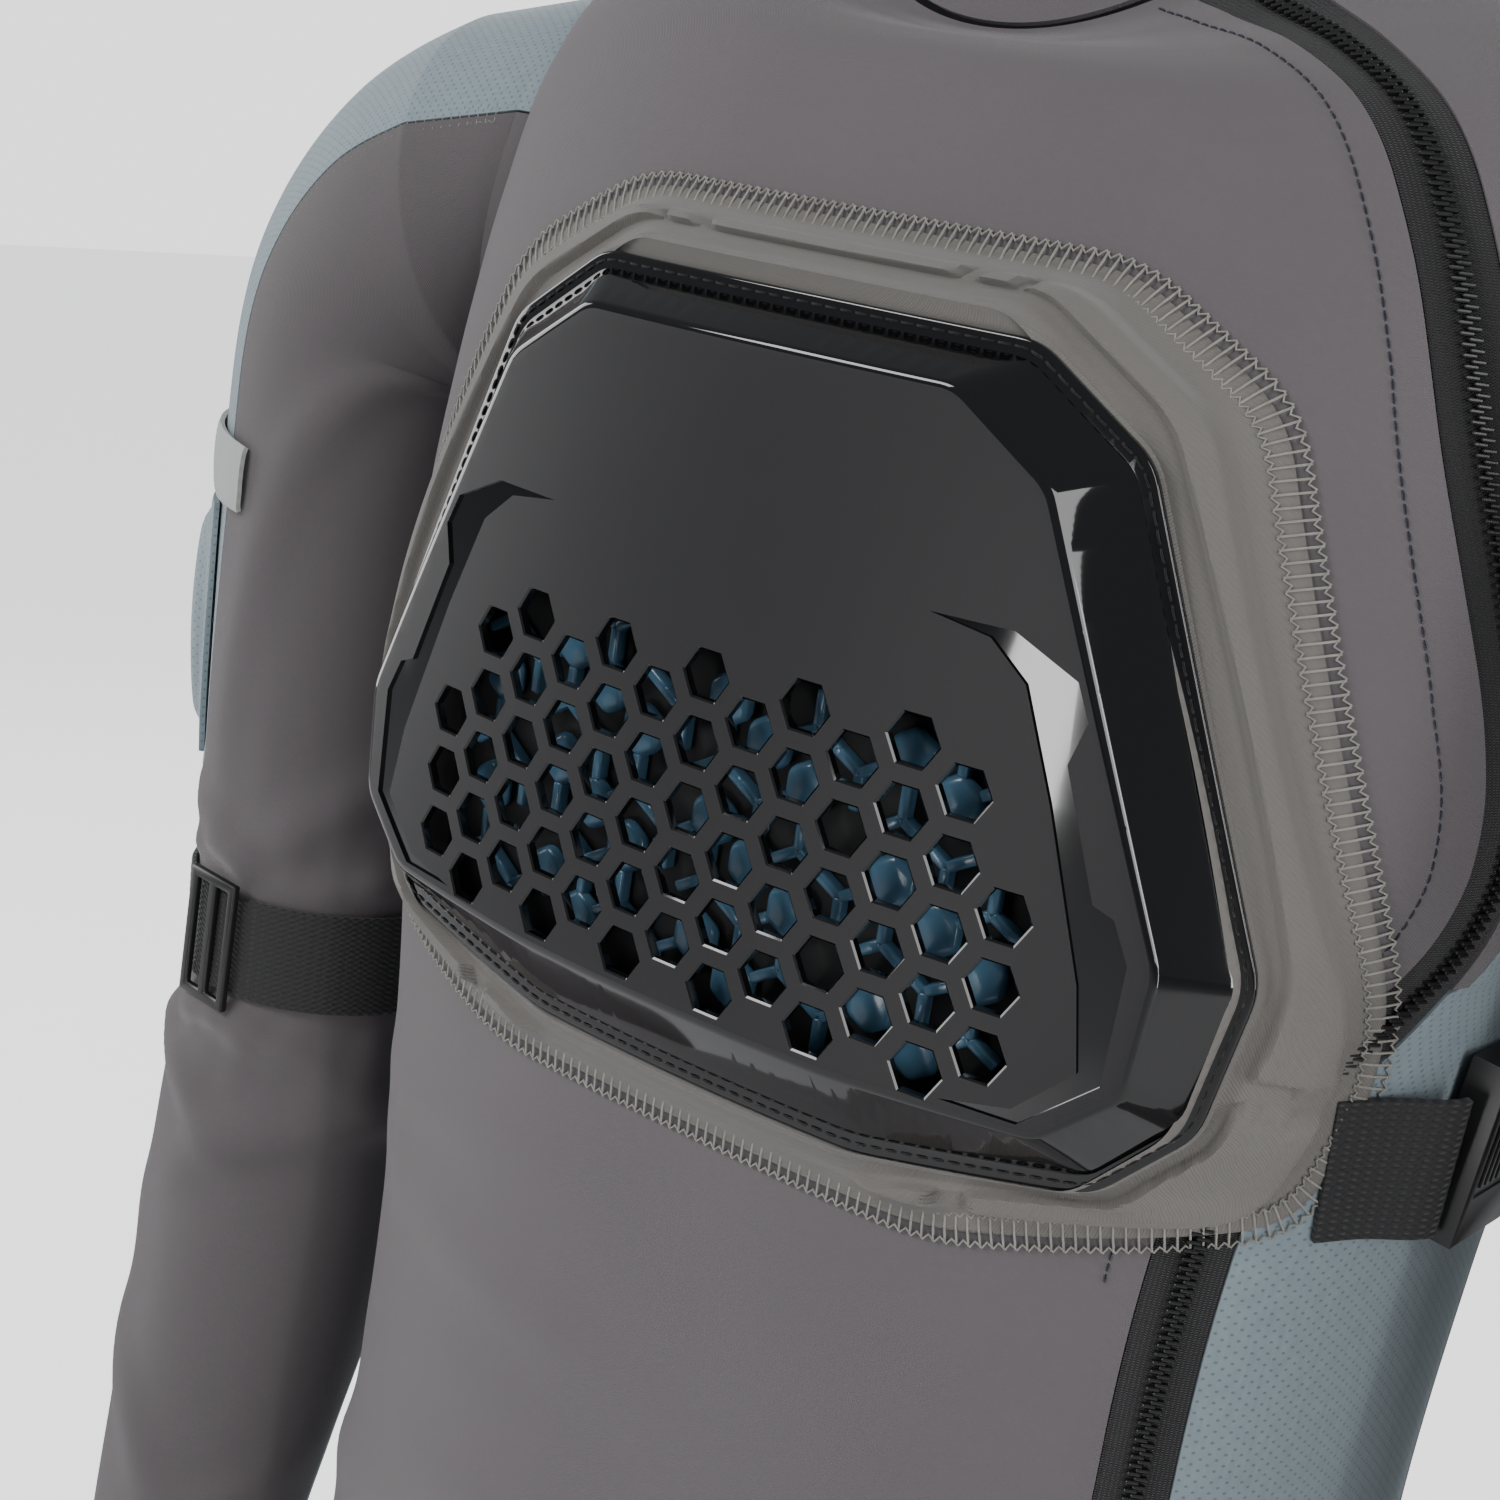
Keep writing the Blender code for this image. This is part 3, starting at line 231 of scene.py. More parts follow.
# %% Shape of the sleeves
SHOULDER_COLUMNS = ("turn", "across", "deep", "forward")
SHOULDER = (
    (14, 1.130, 1.100, 0.00),
    (34, 1.090, 1.100, 0.02),
    (56, 1.050, 1.090, 0.04),
    (78, 1.010, 1.070, 0.08),
)
ARM_COLUMNS = ("drop", "across", "deep", "inward", "forward")
ARM = (
    (0.080, 0.990, 1.040, 0.08, 0.14),
    (0.190, 0.960, 1.000, 0.16, 0.22),
    (0.300, 0.930, 0.960, 0.24, 0.30),
    (0.390, 0.880, 0.920, 0.29, 0.36),
    (0.460, 0.860, 0.910, 0.32, 0.40),
    (0.540, 0.885, 0.930, 0.32, 0.50),
    (0.640, 0.850, 0.880, 0.30, 0.62),
    (0.760, 0.770, 0.790, 0.28, 0.80),
    (0.880, 0.680, 0.700, 0.26, 1.00),
    (1.000, 0.610, 0.640, 0.24, 1.15),
)
CUFF = len(SHOULDER) + len(ARM) + 1
CAP_END = 6.25
STRAP_STATION = 9.45
STRIP_FRONT = np.array([(0, 22), (6.25, 22), (8, 38), (9.5, 52), (CUFF, 48)])
STRIP_BACK = 112
UNDER_BACK = 200
UNDER_FRONT = 242
STRAIGHT_DROP = 0.19
FIRST_INWARD = 0.08


def sleeve_table(side):
    """Rows of centre, up vector and half sizes for the sections after the root."""
    rows = []
    for turn, across, deep, forward in SHOULDER:
        angle = math.radians(turn)
        up = np.array([side * math.sin(angle), 0, math.cos(angle)])
        half = across * ARM_RADIUS
        centre = np.array([side * ARMPIT_REACH, -forward * ARM_RADIUS, ARMPIT_LEVEL])
        rows.append(np.concatenate([centre + up * (BEND_RADIUS + half), up, [half, deep * ARM_RADIUS]]))
    start = rows[-1][:3]
    lean = math.radians(SHOULDER[-1][0])
    for drop, across, deep, inward, forward in ARM:
        fall = drop * ARM_LENGTH
        angle = lean + (math.radians(90) - lean) * min(1.0, drop / STRAIGHT_DROP)
        up = np.array([side * math.sin(angle), 0, math.cos(angle)])
        x = abs(start[0]) - (inward - FIRST_INWARD) * ARM_RADIUS + ARM_HANG[side] * fall
        centre = np.array([side * x, -forward * ARM_RADIUS, start[2] - fall])
        rows.append(np.concatenate([centre, up, [across * ARM_RADIUS, deep * ARM_RADIUS]]))
    return np.array(rows)


SLEEVES = {side: sleeve_table(side) for side in (-1, 1)}
ARMHOLE = np.array([0.0, ARMHOLE_BACK, ARMPIT_LEVEL + BEND_RADIUS + ARMHOLE_HALF_HEIGHT])


def side_reach(y, z):
    """How far out the trunk's inner face is at a place in the armhole."""
    width, front, back, square = smooth_row(BODY, row_at(z))[1:5]
    depth = front * FRONT_DEPTH if y < 0 else back * BACK_DEPTH
    share = min(abs(y) / depth, 0.99)
    return width * HALF_CHEST * (1 - share ** square) ** (1 / square)


def on_sleeve(side, angles, station, off=0.0):
    """Points of a sleeve at a distance off its inner face, for one station."""
    turns = np.radians(np.atleast_1d(angles))
    off = np.broadcast_to(np.atleast_1d(off), turns.shape)
    fore, out = -np.cos(turns), np.sin(turns)
    if station >= 2:
        row = smooth_row(SLEEVES[side], station - 2)
        up = row[3:6] / np.linalg.norm(row[3:6])
        points = row[:3] + up * (out * (row[6] + off))[:, None]
        points[:, 1] += fore * (row[7] + off)
        return points
    inset = CLOTH + SEAM_AIR - off
    y = ARMHOLE[1] + fore * (ARMHOLE_HALF_DEPTH - inset)
    z = ARMHOLE[2] + out * (ARMHOLE_HALF_HEIGHT - inset)
    reach = np.array([side_reach(a, b) for a, b in zip(y, z)])
    root = np.stack([side * (reach + ROOT_AIR + ROOT_COLLAR * min(station, 1)), y, z], axis=1)
    if station <= 1:
        return root
    share = station - 1
    return root + (on_sleeve(side, angles, 2, off) - root) * share * share * (3 - 2 * share)


def strip_front(station):
    return float(np.interp(station, STRIP_FRONT[:, 0], STRIP_FRONT[:, 1]))


print("sleeve tables:", ", ".join(SHOULDER_COLUMNS), "and", ", ".join(ARM_COLUMNS))
print("right cuff at", np.round(on_sleeve(-1, [90], CUFF)[0], 3))

# %% [markdown]
# Most pieces start as a grid primitive with as many rows and columns as the shape needs, and its points
# are then placed by the rules above. The grid brings its own UV map, which is set to metres here, so a
# weave keeps its true size wherever the cloth goes.

# %% Helpers: grids, modifiers and the finished piece


def activate(piece):
    bpy.ops.object.select_all(action="DESELECT")
    piece.select_set(True)
    bpy.context.view_layer.objects.active = piece


def apply_modifier(piece, kind, **values):
    """Add a modifier, set its values and apply it."""
    change = piece.modifiers.new(kind.lower(), kind)
    for key, value in values.items():
        setattr(change, key, value)
    activate(piece)
    bpy.ops.object.modifier_apply(modifier=change.name)


def grid_piece(name, points, spread=None, closed=False):
    """A mesh from an array of rows and columns of points, with a UV map in metres."""
    rows, columns = points.shape[:2]
    bpy.ops.object.select_all(action="DESELECT")
    bpy.ops.mesh.primitive_grid_add(x_subdivisions=columns - 1, y_subdivisions=rows - 1, size=1)
    piece = bpy.context.object
    piece.name = name
    piece.data.name = name
    mesh = piece.data
    mesh.vertices.foreach_set("co", points.reshape(-1).astype(np.float32))
    if spread is None:
        along = np.linalg.norm(np.diff(points, axis=1), axis=2).mean(axis=0)
        down = np.linalg.norm(np.diff(points, axis=0), axis=2).mean(axis=1)
        u, v = np.meshgrid(np.concatenate([[0], np.cumsum(along)]), np.concatenate([[0], np.cumsum(down)]))
        spread = np.stack([u, v], axis=-1)
    corners = np.empty(len(mesh.loops), dtype=np.int64)
    mesh.loops.foreach_get("vertex_index", corners)
    corner_uv = spread.reshape(-1, 2)[corners].reshape(-1)
    mesh.uv_layers.active.data.foreach_set("uv", corner_uv.astype(np.float32))
    mesh.update()
    if closed:
        weld(piece)
    return piece


def weld(piece, distance=1e-6):
    activate(piece)
    bpy.ops.object.mode_set(mode="EDIT")
    bpy.ops.mesh.select_all(action="SELECT")
    bpy.ops.mesh.remove_doubles(threshold=distance)
    bpy.ops.object.mode_set(mode="OBJECT")


def face_outwards(piece):
    activate(piece)
    bpy.ops.object.mode_set(mode="EDIT")
    bpy.ops.mesh.select_all(action="SELECT")
    bpy.ops.mesh.normals_make_consistent(inside=False)
    bpy.ops.object.mode_set(mode="OBJECT")


def smooth(piece, degrees=35):
    activate(piece)
    bpy.ops.object.shade_smooth_by_angle(angle=math.radians(degrees))


def finish_piece(piece, finish, *nodes, slot=None):
    """Give the piece its material, tie it to the shirt's one body and hide the solids it stands for."""
    if finish is not None:
        piece.data.materials.clear()
        piece.data.materials.append(finish)
    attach(piece, "root")
    if nodes:
        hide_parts(*nodes)
    return piece


def cloth(piece, wall=CLOTH):
    mesh = piece.data
    spread = np.empty(2 * len(mesh.loops), dtype=np.float32)
    mesh.uv_layers.active.data.foreach_get("uv", spread)
    spread = spread.reshape(-1, 2)
    apply_modifier(piece, "SOLIDIFY", thickness=wall, offset=1.0, use_even_offset=False)
    smooth(piece)
    return piece


# %% [markdown]
# Finishes come next. A weave is hundreds of fine diagonal ribs, too fine to model, so a node group turns
# the UV map into ribs and lets each cloth set its own spacing and angle. Two more groups give blotches
# of tone and the fine grain of moulded plastic.

# %% Shared effects as node groups


class Wiring:
    """Short calls for adding and joining nodes in one tree."""

    def __init__(self, tree):
        self.tree = tree

    def node(self, kind, **values):
        made = self.tree.nodes.new(kind)
        for key, value in values.items():
            setattr(made, key, value)
        return made

    def join(self, source, target):
        self.tree.links.new(source, target)

    def math(self, operation, *values):
        made = self.node("ShaderNodeMath", operation=operation)
        for index, value in enumerate(values):
            if isinstance(value, (int, float)):
                made.inputs[index].default_value = value
            else:
                self.join(value, made.inputs[index])
        return made.outputs[0]


def new_group(name, inputs, outputs):
    """A node group with named sockets: inputs hold a name, a kind and a value."""
    group = bpy.data.node_groups.new(name, "ShaderNodeTree")
    for socket, kind, value in inputs:
        made = group.interface.new_socket(name=socket, in_out="INPUT", socket_type=kind)
        if value is not None:
            made.default_value = value
    for socket, kind in outputs:
        group.interface.new_socket(name=socket, in_out="OUTPUT", socket_type=kind)
    wires = Wiring(group)
    return group, wires, wires.node("NodeGroupInput"), wires.node("NodeGroupOutput")


VALUE = "NodeSocketFloat"
VECTOR = "NodeSocketVector"


def make_weave_group():
    """Diagonal ribs crossed by finer yarns, from a UV map in metres, with a tone that paints the grooves
    darker as painted shade.
    """
    group, wires, start, end = new_group(
        "twill_weave", [("Place", VECTOR, None), ("Spacing", VALUE, 0.0006), ("Slant", VALUE, 1.0),
                        ("Cross", VALUE, 0.25)], [("Height", VALUE), ("Tone", VALUE)])
    parts = wires.node("ShaderNodeSeparateXYZ")
    wires.join(start.outputs["Place"], parts.inputs[0])
    wander = wires.node("ShaderNodeTexNoise")
    wander.inputs["Scale"].default_value = 260.0
    wires.join(start.outputs["Place"], wander.inputs["Vector"])
    shift = wires.math("MULTIPLY", wander.outputs["Fac"], 0.00025)
    slanted = wires.math("MULTIPLY_ADD", parts.outputs[1], start.outputs["Slant"], parts.outputs[0])
    slanted = wires.math("ADD", slanted, shift)
    ribs = wires.math("DIVIDE", slanted, start.outputs["Spacing"])
    rib = wires.math("SINE", wires.math("MULTIPLY", ribs, math.tau))
    other = wires.math("SUBTRACT", parts.outputs[1], wires.math("MULTIPLY", parts.outputs[0], 0.8))
    yarns = wires.math("DIVIDE", other, start.outputs["Spacing"])
    yarn = wires.math("SINE", wires.math("MULTIPLY", yarns, math.tau * 1.7))
    height = wires.math("MULTIPLY_ADD", yarn, start.outputs["Cross"], rib)
    height = wires.math("MULTIPLY_ADD", height, 0.4, 0.5)
    wires.join(height, end.inputs["Height"])
    # Tone follows the height: painted shade in the grooves between ribs, lighter on the crests.
    wires.join(wires.math("MULTIPLY_ADD", height, 0.16, 0.92), end.inputs["Tone"])
    return group


def make_blotch_group():
    """Broad and fine change of tone, as one multiplier near 1."""
    group, wires, start, end = new_group(
        "cloth_tone", [("Place", VECTOR, None), ("Broad", VALUE, 18.0), ("Strength", VALUE, 0.12)],
        [("Tone", VALUE)])
    broad = wires.node("ShaderNodeTexNoise")
    broad.inputs["Detail"].default_value = 4.0
    wires.join(start.outputs["Place"], broad.inputs["Vector"])
    wires.join(start.outputs["Broad"], broad.inputs["Scale"])
    fine = wires.node("ShaderNodeTexNoise")
    fine.inputs["Scale"].default_value = 900.0
    wires.join(start.outputs["Place"], fine.inputs["Vector"])
    both = wires.math("ADD", broad.outputs["Fac"], wires.math("MULTIPLY", fine.outputs["Fac"], 0.6))
    centred = wires.math("SUBTRACT", both, 0.8)
    wires.join(wires.math("MULTIPLY_ADD", centred, start.outputs["Strength"], 1.0), end.inputs["Tone"])
    return group


def make_grain_group():
    """Fine moulded grain and faint wear: a height, a roughness mask and a dust mask."""
    group, wires, start, end = new_group(
        "moulded_grain", [("Place", VECTOR, None), ("Grain", VALUE, 2500.0), ("Smudge", VALUE, 14.0)],
        [("Height", VALUE), ("Wear", VALUE), ("Dust", VALUE)])
    grain = wires.node("ShaderNodeTexNoise")
    wires.join(start.outputs["Place"], grain.inputs["Vector"])
    wires.join(start.outputs["Grain"], grain.inputs["Scale"])
    wires.join(grain.outputs["Fac"], end.inputs["Height"])
    smudge = wires.node("ShaderNodeTexNoise")
    smudge.inputs["Detail"].default_value = 5.0
    wires.join(start.outputs["Place"], smudge.inputs["Vector"])
    wires.join(start.outputs["Smudge"], smudge.inputs["Scale"])
    wires.join(smudge.outputs["Fac"], end.inputs["Wear"])
    specks = wires.node("ShaderNodeTexVoronoi")
    specks.inputs["Scale"].default_value = 620.0
    wires.join(start.outputs["Place"], specks.inputs["Vector"])
    speck = wires.math("LESS_THAN", specks.outputs["Distance"], 0.06)
    patch = wires.math("GREATER_THAN", smudge.outputs["Fac"], 0.56)
    wires.join(wires.math("MULTIPLY", speck, patch), end.inputs["Dust"])
    return group


WEAVE = make_weave_group()
BLOTCH = make_blotch_group()
GRAIN = make_grain_group()
print("node groups:", WEAVE.name, BLOTCH.name, GRAIN.name)

# %% [markdown]
# Each finish is one material. Cloth is rough with a little sheen, the plate has a matte field and a
# gloss bevel, and the lattice behind the vents is a shiny steel blue.

# %% Materials


def new_material(name, colour, rough, **sockets):
    """A material with its plain values on the shader's own sockets."""
    made = bpy.data.materials.new(name)
    made.use_nodes = True
    made.diffuse_color = (*colour, 1)
    shader = made.node_tree.nodes["Principled BSDF"]
    shader.inputs["Base Color"].default_value = (*colour, 1)
    shader.inputs["Roughness"].default_value = rough
    for key, value in sockets.items():
        shader.inputs[key.replace("_", " ")].default_value = value
    return made, Wiring(made.node_tree), shader


def toned(wires, colour, *tones):
    """The colour times each tone."""
    result = None
    for tone in tones:
        scale = wires.node("ShaderNodeVectorMath", operation="SCALE")
        if result is None:
            scale.inputs[0].default_value = colour
        else:
            wires.join(result, scale.inputs[0])
        wires.join(tone, scale.inputs["Scale"])
        result = scale.outputs[0]
    return result


def bump(wires, shader, height, distance, strength=1.0):
    made = wires.node("ShaderNodeBump")
    made.inputs["Distance"].default_value = distance
    made.inputs["Strength"].default_value = strength
    wires.join(height, made.inputs["Height"])
    wires.join(made.outputs[0], shader.inputs["Normal"])


def group_node(wires, group, place, **values):
    made = wires.node("ShaderNodeGroup")
    made.node_tree = group
    wires.join(place, made.inputs["Place"])
    for key, value in values.items():
        made.inputs[key].default_value = value
    return made


def cloth_material(name, colour, spacing, slant, cross=0.25, blotch=0.12, depth=0.00012, sheen=0.25):
    made, wires, shader = new_material(name, colour, 0.85, Sheen_Weight=sheen, Sheen_Roughness=0.4,
                                       Specular_IOR_Level=0.25)
    uv = wires.node("ShaderNodeUVMap").outputs[0]
    place = wires.node("ShaderNodeTexCoord").outputs["Object"]
    weave = group_node(wires, WEAVE, uv, Spacing=spacing, Slant=slant, Cross=cross)
    tone = group_node(wires, BLOTCH, place, Strength=blotch)
    # The weave's tone is painted shade in the grooves; the blotch tone varies at random.
    wires.join(toned(wires, colour, weave.outputs["Tone"], tone.outputs["Tone"]), shader.inputs["Base Color"])
    bump(wires, shader, weave.outputs["Height"], depth, 0.7)
    return made


PIN_PITCH = 0.0032      # metres from one pin hole of the mesh to the next


def mesh_material(name, colour, light):
    """Heathered knit with rows of fine pin holes."""
    made, wires, shader = new_material(name, colour, 0.85, Sheen_Weight=0.25, Specular_IOR_Level=0.25)
    uv = wires.node("ShaderNodeUVMap").outputs[0]
    place = wires.node("ShaderNodeTexCoord").outputs["Object"]
    parts = wires.node("ShaderNodeSeparateXYZ")
    wires.join(uv, parts.inputs[0])
    waves = []
    for axis in parts.outputs[:2]:
        waves.append(wires.math("SINE", wires.math("MULTIPLY", axis, math.tau / PIN_PITCH)))
    pins = wires.math("GREATER_THAN", wires.math("MULTIPLY", waves[0], waves[1]), 0.72)
    yarn = wires.node("ShaderNodeTexNoise")
    yarn.inputs["Scale"].default_value = 700.0
    stretch = wires.node("ShaderNodeMapping")
    stretch.inputs["Scale"].default_value = (1, 0.22, 1)
    wires.join(uv, stretch.inputs["Vector"])
    wires.join(stretch.outputs[0], yarn.inputs["Vector"])
    blend = wires.node("ShaderNodeMix", data_type="RGBA")
    blend.inputs["A"].default_value = (*colour, 1)
    blend.inputs["B"].default_value = (*light, 1)
    wires.join(yarn.outputs["Fac"], blend.inputs["Factor"])
    tone = group_node(wires, BLOTCH, place, Strength=0.10)
    # The pin holes are painted darker: painted shade inside the holes.
    pin_hole_shade = wires.math("MULTIPLY_ADD", pins, -0.35, 1.0)
    both = wires.math("MULTIPLY", tone.outputs["Tone"], pin_hole_shade)
    scale = wires.node("ShaderNodeVectorMath", operation="SCALE")
    wires.join(blend.outputs["Result"], scale.inputs[0])
    wires.join(both, scale.inputs["Scale"])
    wires.join(scale.outputs[0], shader.inputs["Base Color"])
    height = wires.math("SUBTRACT", wires.math("MULTIPLY", yarn.outputs["Fac"], 0.5), pins)
    bump(wires, shader, height, 0.0002, 0.6)
    return made


def plastic_material(name, colour, rough, spread, grain=0.00003, coat=0.0, dust=0.03):
    made, wires, shader = new_material(name, colour, rough, Coat_Weight=coat, Coat_Roughness=0.03)
    place = wires.node("ShaderNodeTexCoord").outputs["Object"]
    effect = group_node(wires, GRAIN, place)
    wires.join(wires.math("MULTIPLY_ADD", effect.outputs["Wear"], spread, rough - spread / 2),
               shader.inputs["Roughness"])
    lift = wires.math("MULTIPLY_ADD", effect.outputs["Dust"], dust / max(colour), 1.0)
    wires.join(toned(wires, colour, lift), shader.inputs["Base Color"])
    if grain:
        bump(wires, shader, effect.outputs["Height"], grain, 0.5)
    return made


def webbing_material(name, colour, pitch):
    """Woven tape: ribs across the strap, each a row of small humps."""
    made, wires, shader = new_material(name, colour, 0.7, Sheen_Weight=0.15)
    uv = wires.node("ShaderNodeUVMap").outputs[0]
    parts = wires.node("ShaderNodeSeparateXYZ")
    wires.join(uv, parts.inputs[0])
    across = wires.math("SINE", wires.math("MULTIPLY", parts.outputs[0], math.tau / pitch))
    along = wires.math("SINE", wires.math("MULTIPLY", parts.outputs[1], math.tau / (0.55 * pitch)))
    height = wires.math("ADD", wires.math("MULTIPLY", across, along), wires.math("MULTIPLY", along, 0.5))
    # The humps are painted lighter and the hollows darker: painted shade of the ribs.
    tone = wires.math("MULTIPLY_ADD", height, 0.35, 1.0)
    wires.join(toned(wires, colour, tone), shader.inputs["Base Color"])
    bump(wires, shader, height, 0.00025, 0.8)
    return made


BODY_TWILL = cloth_material("body_twill", (0.128, 0.115, 0.122), 0.00075, 1.3)
PAD_TWILL = cloth_material("pad_twill", (0.170, 0.160, 0.150), 0.0008, -1.2, depth=0.00014)
# The sleeves' twill is the body twill painted darker: painted shade of the sleeves, which hang in shadow.
SHADED_SLEEVE_TWILL = cloth_material("sleeve_twill_painted_shade", (0.112, 0.101, 0.106), 0.0007, 1.3)
HEATHER = mesh_material("heather_mesh", (0.190, 0.245, 0.275), (0.270, 0.335, 0.365))
LIGHT_BAND = cloth_material("light_band", (0.400, 0.415, 0.405), 0.0009, 0.2, cross=0.5)
FIELD_BLACK = plastic_material("field_black", (0.0085, 0.0082, 0.0095), 0.48, 0.10, grain=0.00004)
GLOSS_BLACK = plastic_material("gloss_black", (0.0040, 0.0040, 0.0045), 0.06, 0.03, grain=0, coat=0.5,
                               dust=0.006)
LATTICE_BLUE = plastic_material("lattice_blue", (0.060, 0.140, 0.215), 0.22, 0.10, grain=0.00002)
DARK_SHEET = plastic_material("dark_sheet", (0.006, 0.006, 0.007), 0.7, 0.1)
HARD_BLACK = plastic_material("hard_black", (0.0100, 0.0100, 0.0105), 0.33, 0.12)
STRAP_BLACK = webbing_material("strap_black", (0.0110, 0.0110, 0.0120), 0.0034)
TAPE_BLACK = webbing_material("tape_black", (0.0080, 0.0080, 0.0090), 0.0012)
THREAD_LIGHT = cloth_material("thread_light", (0.400, 0.380, 0.345), 0.0004, 1.0)
THREAD_GREY = cloth_material("thread_grey", (0.300, 0.300, 0.295), 0.0004, 1.0)
THREAD_NAVY = cloth_material("thread_navy", (0.020, 0.022, 0.040), 0.0004, 1.0)
THREAD_BLACK = cloth_material("thread_black", (0.012, 0.012, 0.013), 0.0004, 1.0)
print("materials:", len(bpy.data.materials))

# %% [markdown]
# Stretch cloth on a body is nearly smooth, with a few long soft folds where it is pulled. Each fold is a
# ridge with a place, a direction, a length and a width. The table holds those of the trunk.

# %% Folds of the trunk
FOLD_COLUMNS = ("turn", "height", "slope", "length", "width", "lift")
FOLDS = np.array([
    (-0.45, -0.360, 10, 0.090, 0.010, 0.0016),
    (-0.30, -0.400, -8, 0.120, 0.012, 0.0018),
    (0.25, -0.385, 6, 0.110, 0.011, 0.0014),
    (0.05, -0.470, 3, 0.150, 0.014, 0.0022),
    (-0.62, -0.500, 20, 0.100, 0.012, 0.0024),
    (0.55, -0.520, -15, 0.110, 0.013, 0.0022),
    (-0.20, -0.600, 70, 0.080, 0.016, 0.0030),
    (0.40, -0.610, 80, 0.080, 0.018, 0.0030),
    (1.70, -0.300, 12, 0.120, 0.013, 0.0022),
    (2.20, -0.380, -10, 0.140, 0.014, 0.0024),
    (1.85, -0.460, 8, 0.150, 0.014, 0.0026),
    (2.10, -0.540, -6, 0.130, 0.015, 0.0024),
    (1.60, -0.590, 75, 0.090, 0.018, 0.0034),
    (2.35, -0.600, 100, 0.090, 0.018, 0.0034),
    (1.45, -0.160, 60, 0.070, 0.010, 0.0020),
    (2.55, -0.165, 120, 0.070, 0.010, 0.0020),
    (-0.86, -0.230, 45, 0.050, 0.008, 0.0014),
])
TURN_LENGTH = 0.205     # metres of cloth for one turn


def ridge(u, v, slope, length, width):
    """Height from 0 to 1 of a soft ridge through the origin of u and v."""
    angle = math.radians(slope)
    along = u * math.cos(angle) + v * math.sin(angle)
    across = v * math.cos(angle) - u * math.sin(angle)
    bend = across - 0.12 * along * along / length
    return np.exp(-(along / length) ** 2 * 2) * np.exp(-(bend / width) ** 2)


def trunk_folds(turns, row):
    """Outward lift of the cloth along one level."""
    height = section(row)[1]
    lift = np.zeros(len(turns))
    for turn, level, slope, length, width, size in FOLDS:
        for shift in (0, 4):
            lift += size * ridge((turns - turn + shift) * TURN_LENGTH, height - level, slope, length, width)
    wave = np.sin(turns * 9 + height * 31) * np.sin(turns * 5 - height * 47 + 1.3)
    loose = np.clip((-0.40 - height) / 0.25, 0, 1)
    return lift + wave * (0.0001 + 0.0009 * loose)


print("trunk folds:", len(FOLDS), "of", ", ".join(FOLD_COLUMNS))

# %% [markdown]
# The trunk is cut in five panels. The front meets the zipper, which curves from the hem up and out to the
# arm and back to the neck. Under each arm is a panel of blue-grey mesh. Every panel is a grid between
# two seams, and the armholes are opened by removing the points inside an oval and drawing the edge of
# the hole onto it.

# %% Seams of the trunk
ZIPPER_WIDTH = 0.018
ZIPPER = np.array([
    (0.0, 0.600), (2.0, 0.610), (4.0, 0.590), (4.6, 0.595), (5.0, 0.680), (5.3, 0.755),
    (5.6, 0.805), (6.0, 0.815), (6.5, 0.785), (7.0, 0.745), (7.6, 0.700), (8.0, 0.680),
    (9.0, 0.640), (10.5, 0.600), (15.0, 0.540),
])
SIDE_TAPER = np.array([
    (0.0, 0.00), (4.6, 0.00), (6.0, 0.22), (7.0, 0.62), (7.6, 1.00), (15.0, 1.00),
])
TIP_ROW = 5.3
SIDE_TOP = 7.6
TIP_TURN = 0.012
STEP_ROWS = 22          # grid rows for one row of the table


def eased(places, values, row):
    """Table values between rows, with the corners rounded by averaging nearby rows."""
    return float(np.mean([np.interp(row + shift, places, values) for shift in np.linspace(-0.22, 0.22, 9)]))


def zipper_turn(row):
    return eased(ZIPPER[:, 0], ZIPPER[:, 1], row)


def zipper_edge(row, side):
    return zipper_turn(row) + side * (ZIPPER_WIDTH / 2 + GAP) / arc_size(row)


def side_seam(row, front):
    closed = float(np.interp(row, SIDE_TAPER[:, 0], SIDE_TAPER[:, 1]))
    open_turn = SIDE_SEAM if front else BACK_SEAM
    return open_turn + (1 - open_turn) * closed


def left_strip_seam(row):
    tip = zipper_edge(row, 1) + 2 * TIP_TURN
    closed = float(np.interp(row, (TIP_ROW, 7.0, 7.6), (0, 0.7, 1)))
    return tip + (1 - tip) * closed


def left_side_start(row):
    return zipper_edge(row, 1) if row < TIP_ROW else left_strip_seam(row) + GAP / arc_size(row)


def seam_gap(row):
    return GAP / arc_size(row)


def panel_rows(low, high):
    return np.linspace(low, high, int((high - low) * STEP_ROWS) + 1)


def trunk_panel(name, rows, left, right, columns, folds=True):
    """Grid of a panel between two seams, with its folds."""
    points = []
    for row in rows:
        turns = np.linspace(left(row), right(row), columns + 1)
        lift = trunk_folds(turns, row) if folds else np.zeros(columns + 1)
        edge = np.minimum(np.arange(columns + 1), np.arange(columns + 1)[::-1]) / 3
        points.append(on_body(turns, row, lift * np.clip(edge, 0, 1)))
    return grid_piece(name, np.array(points))


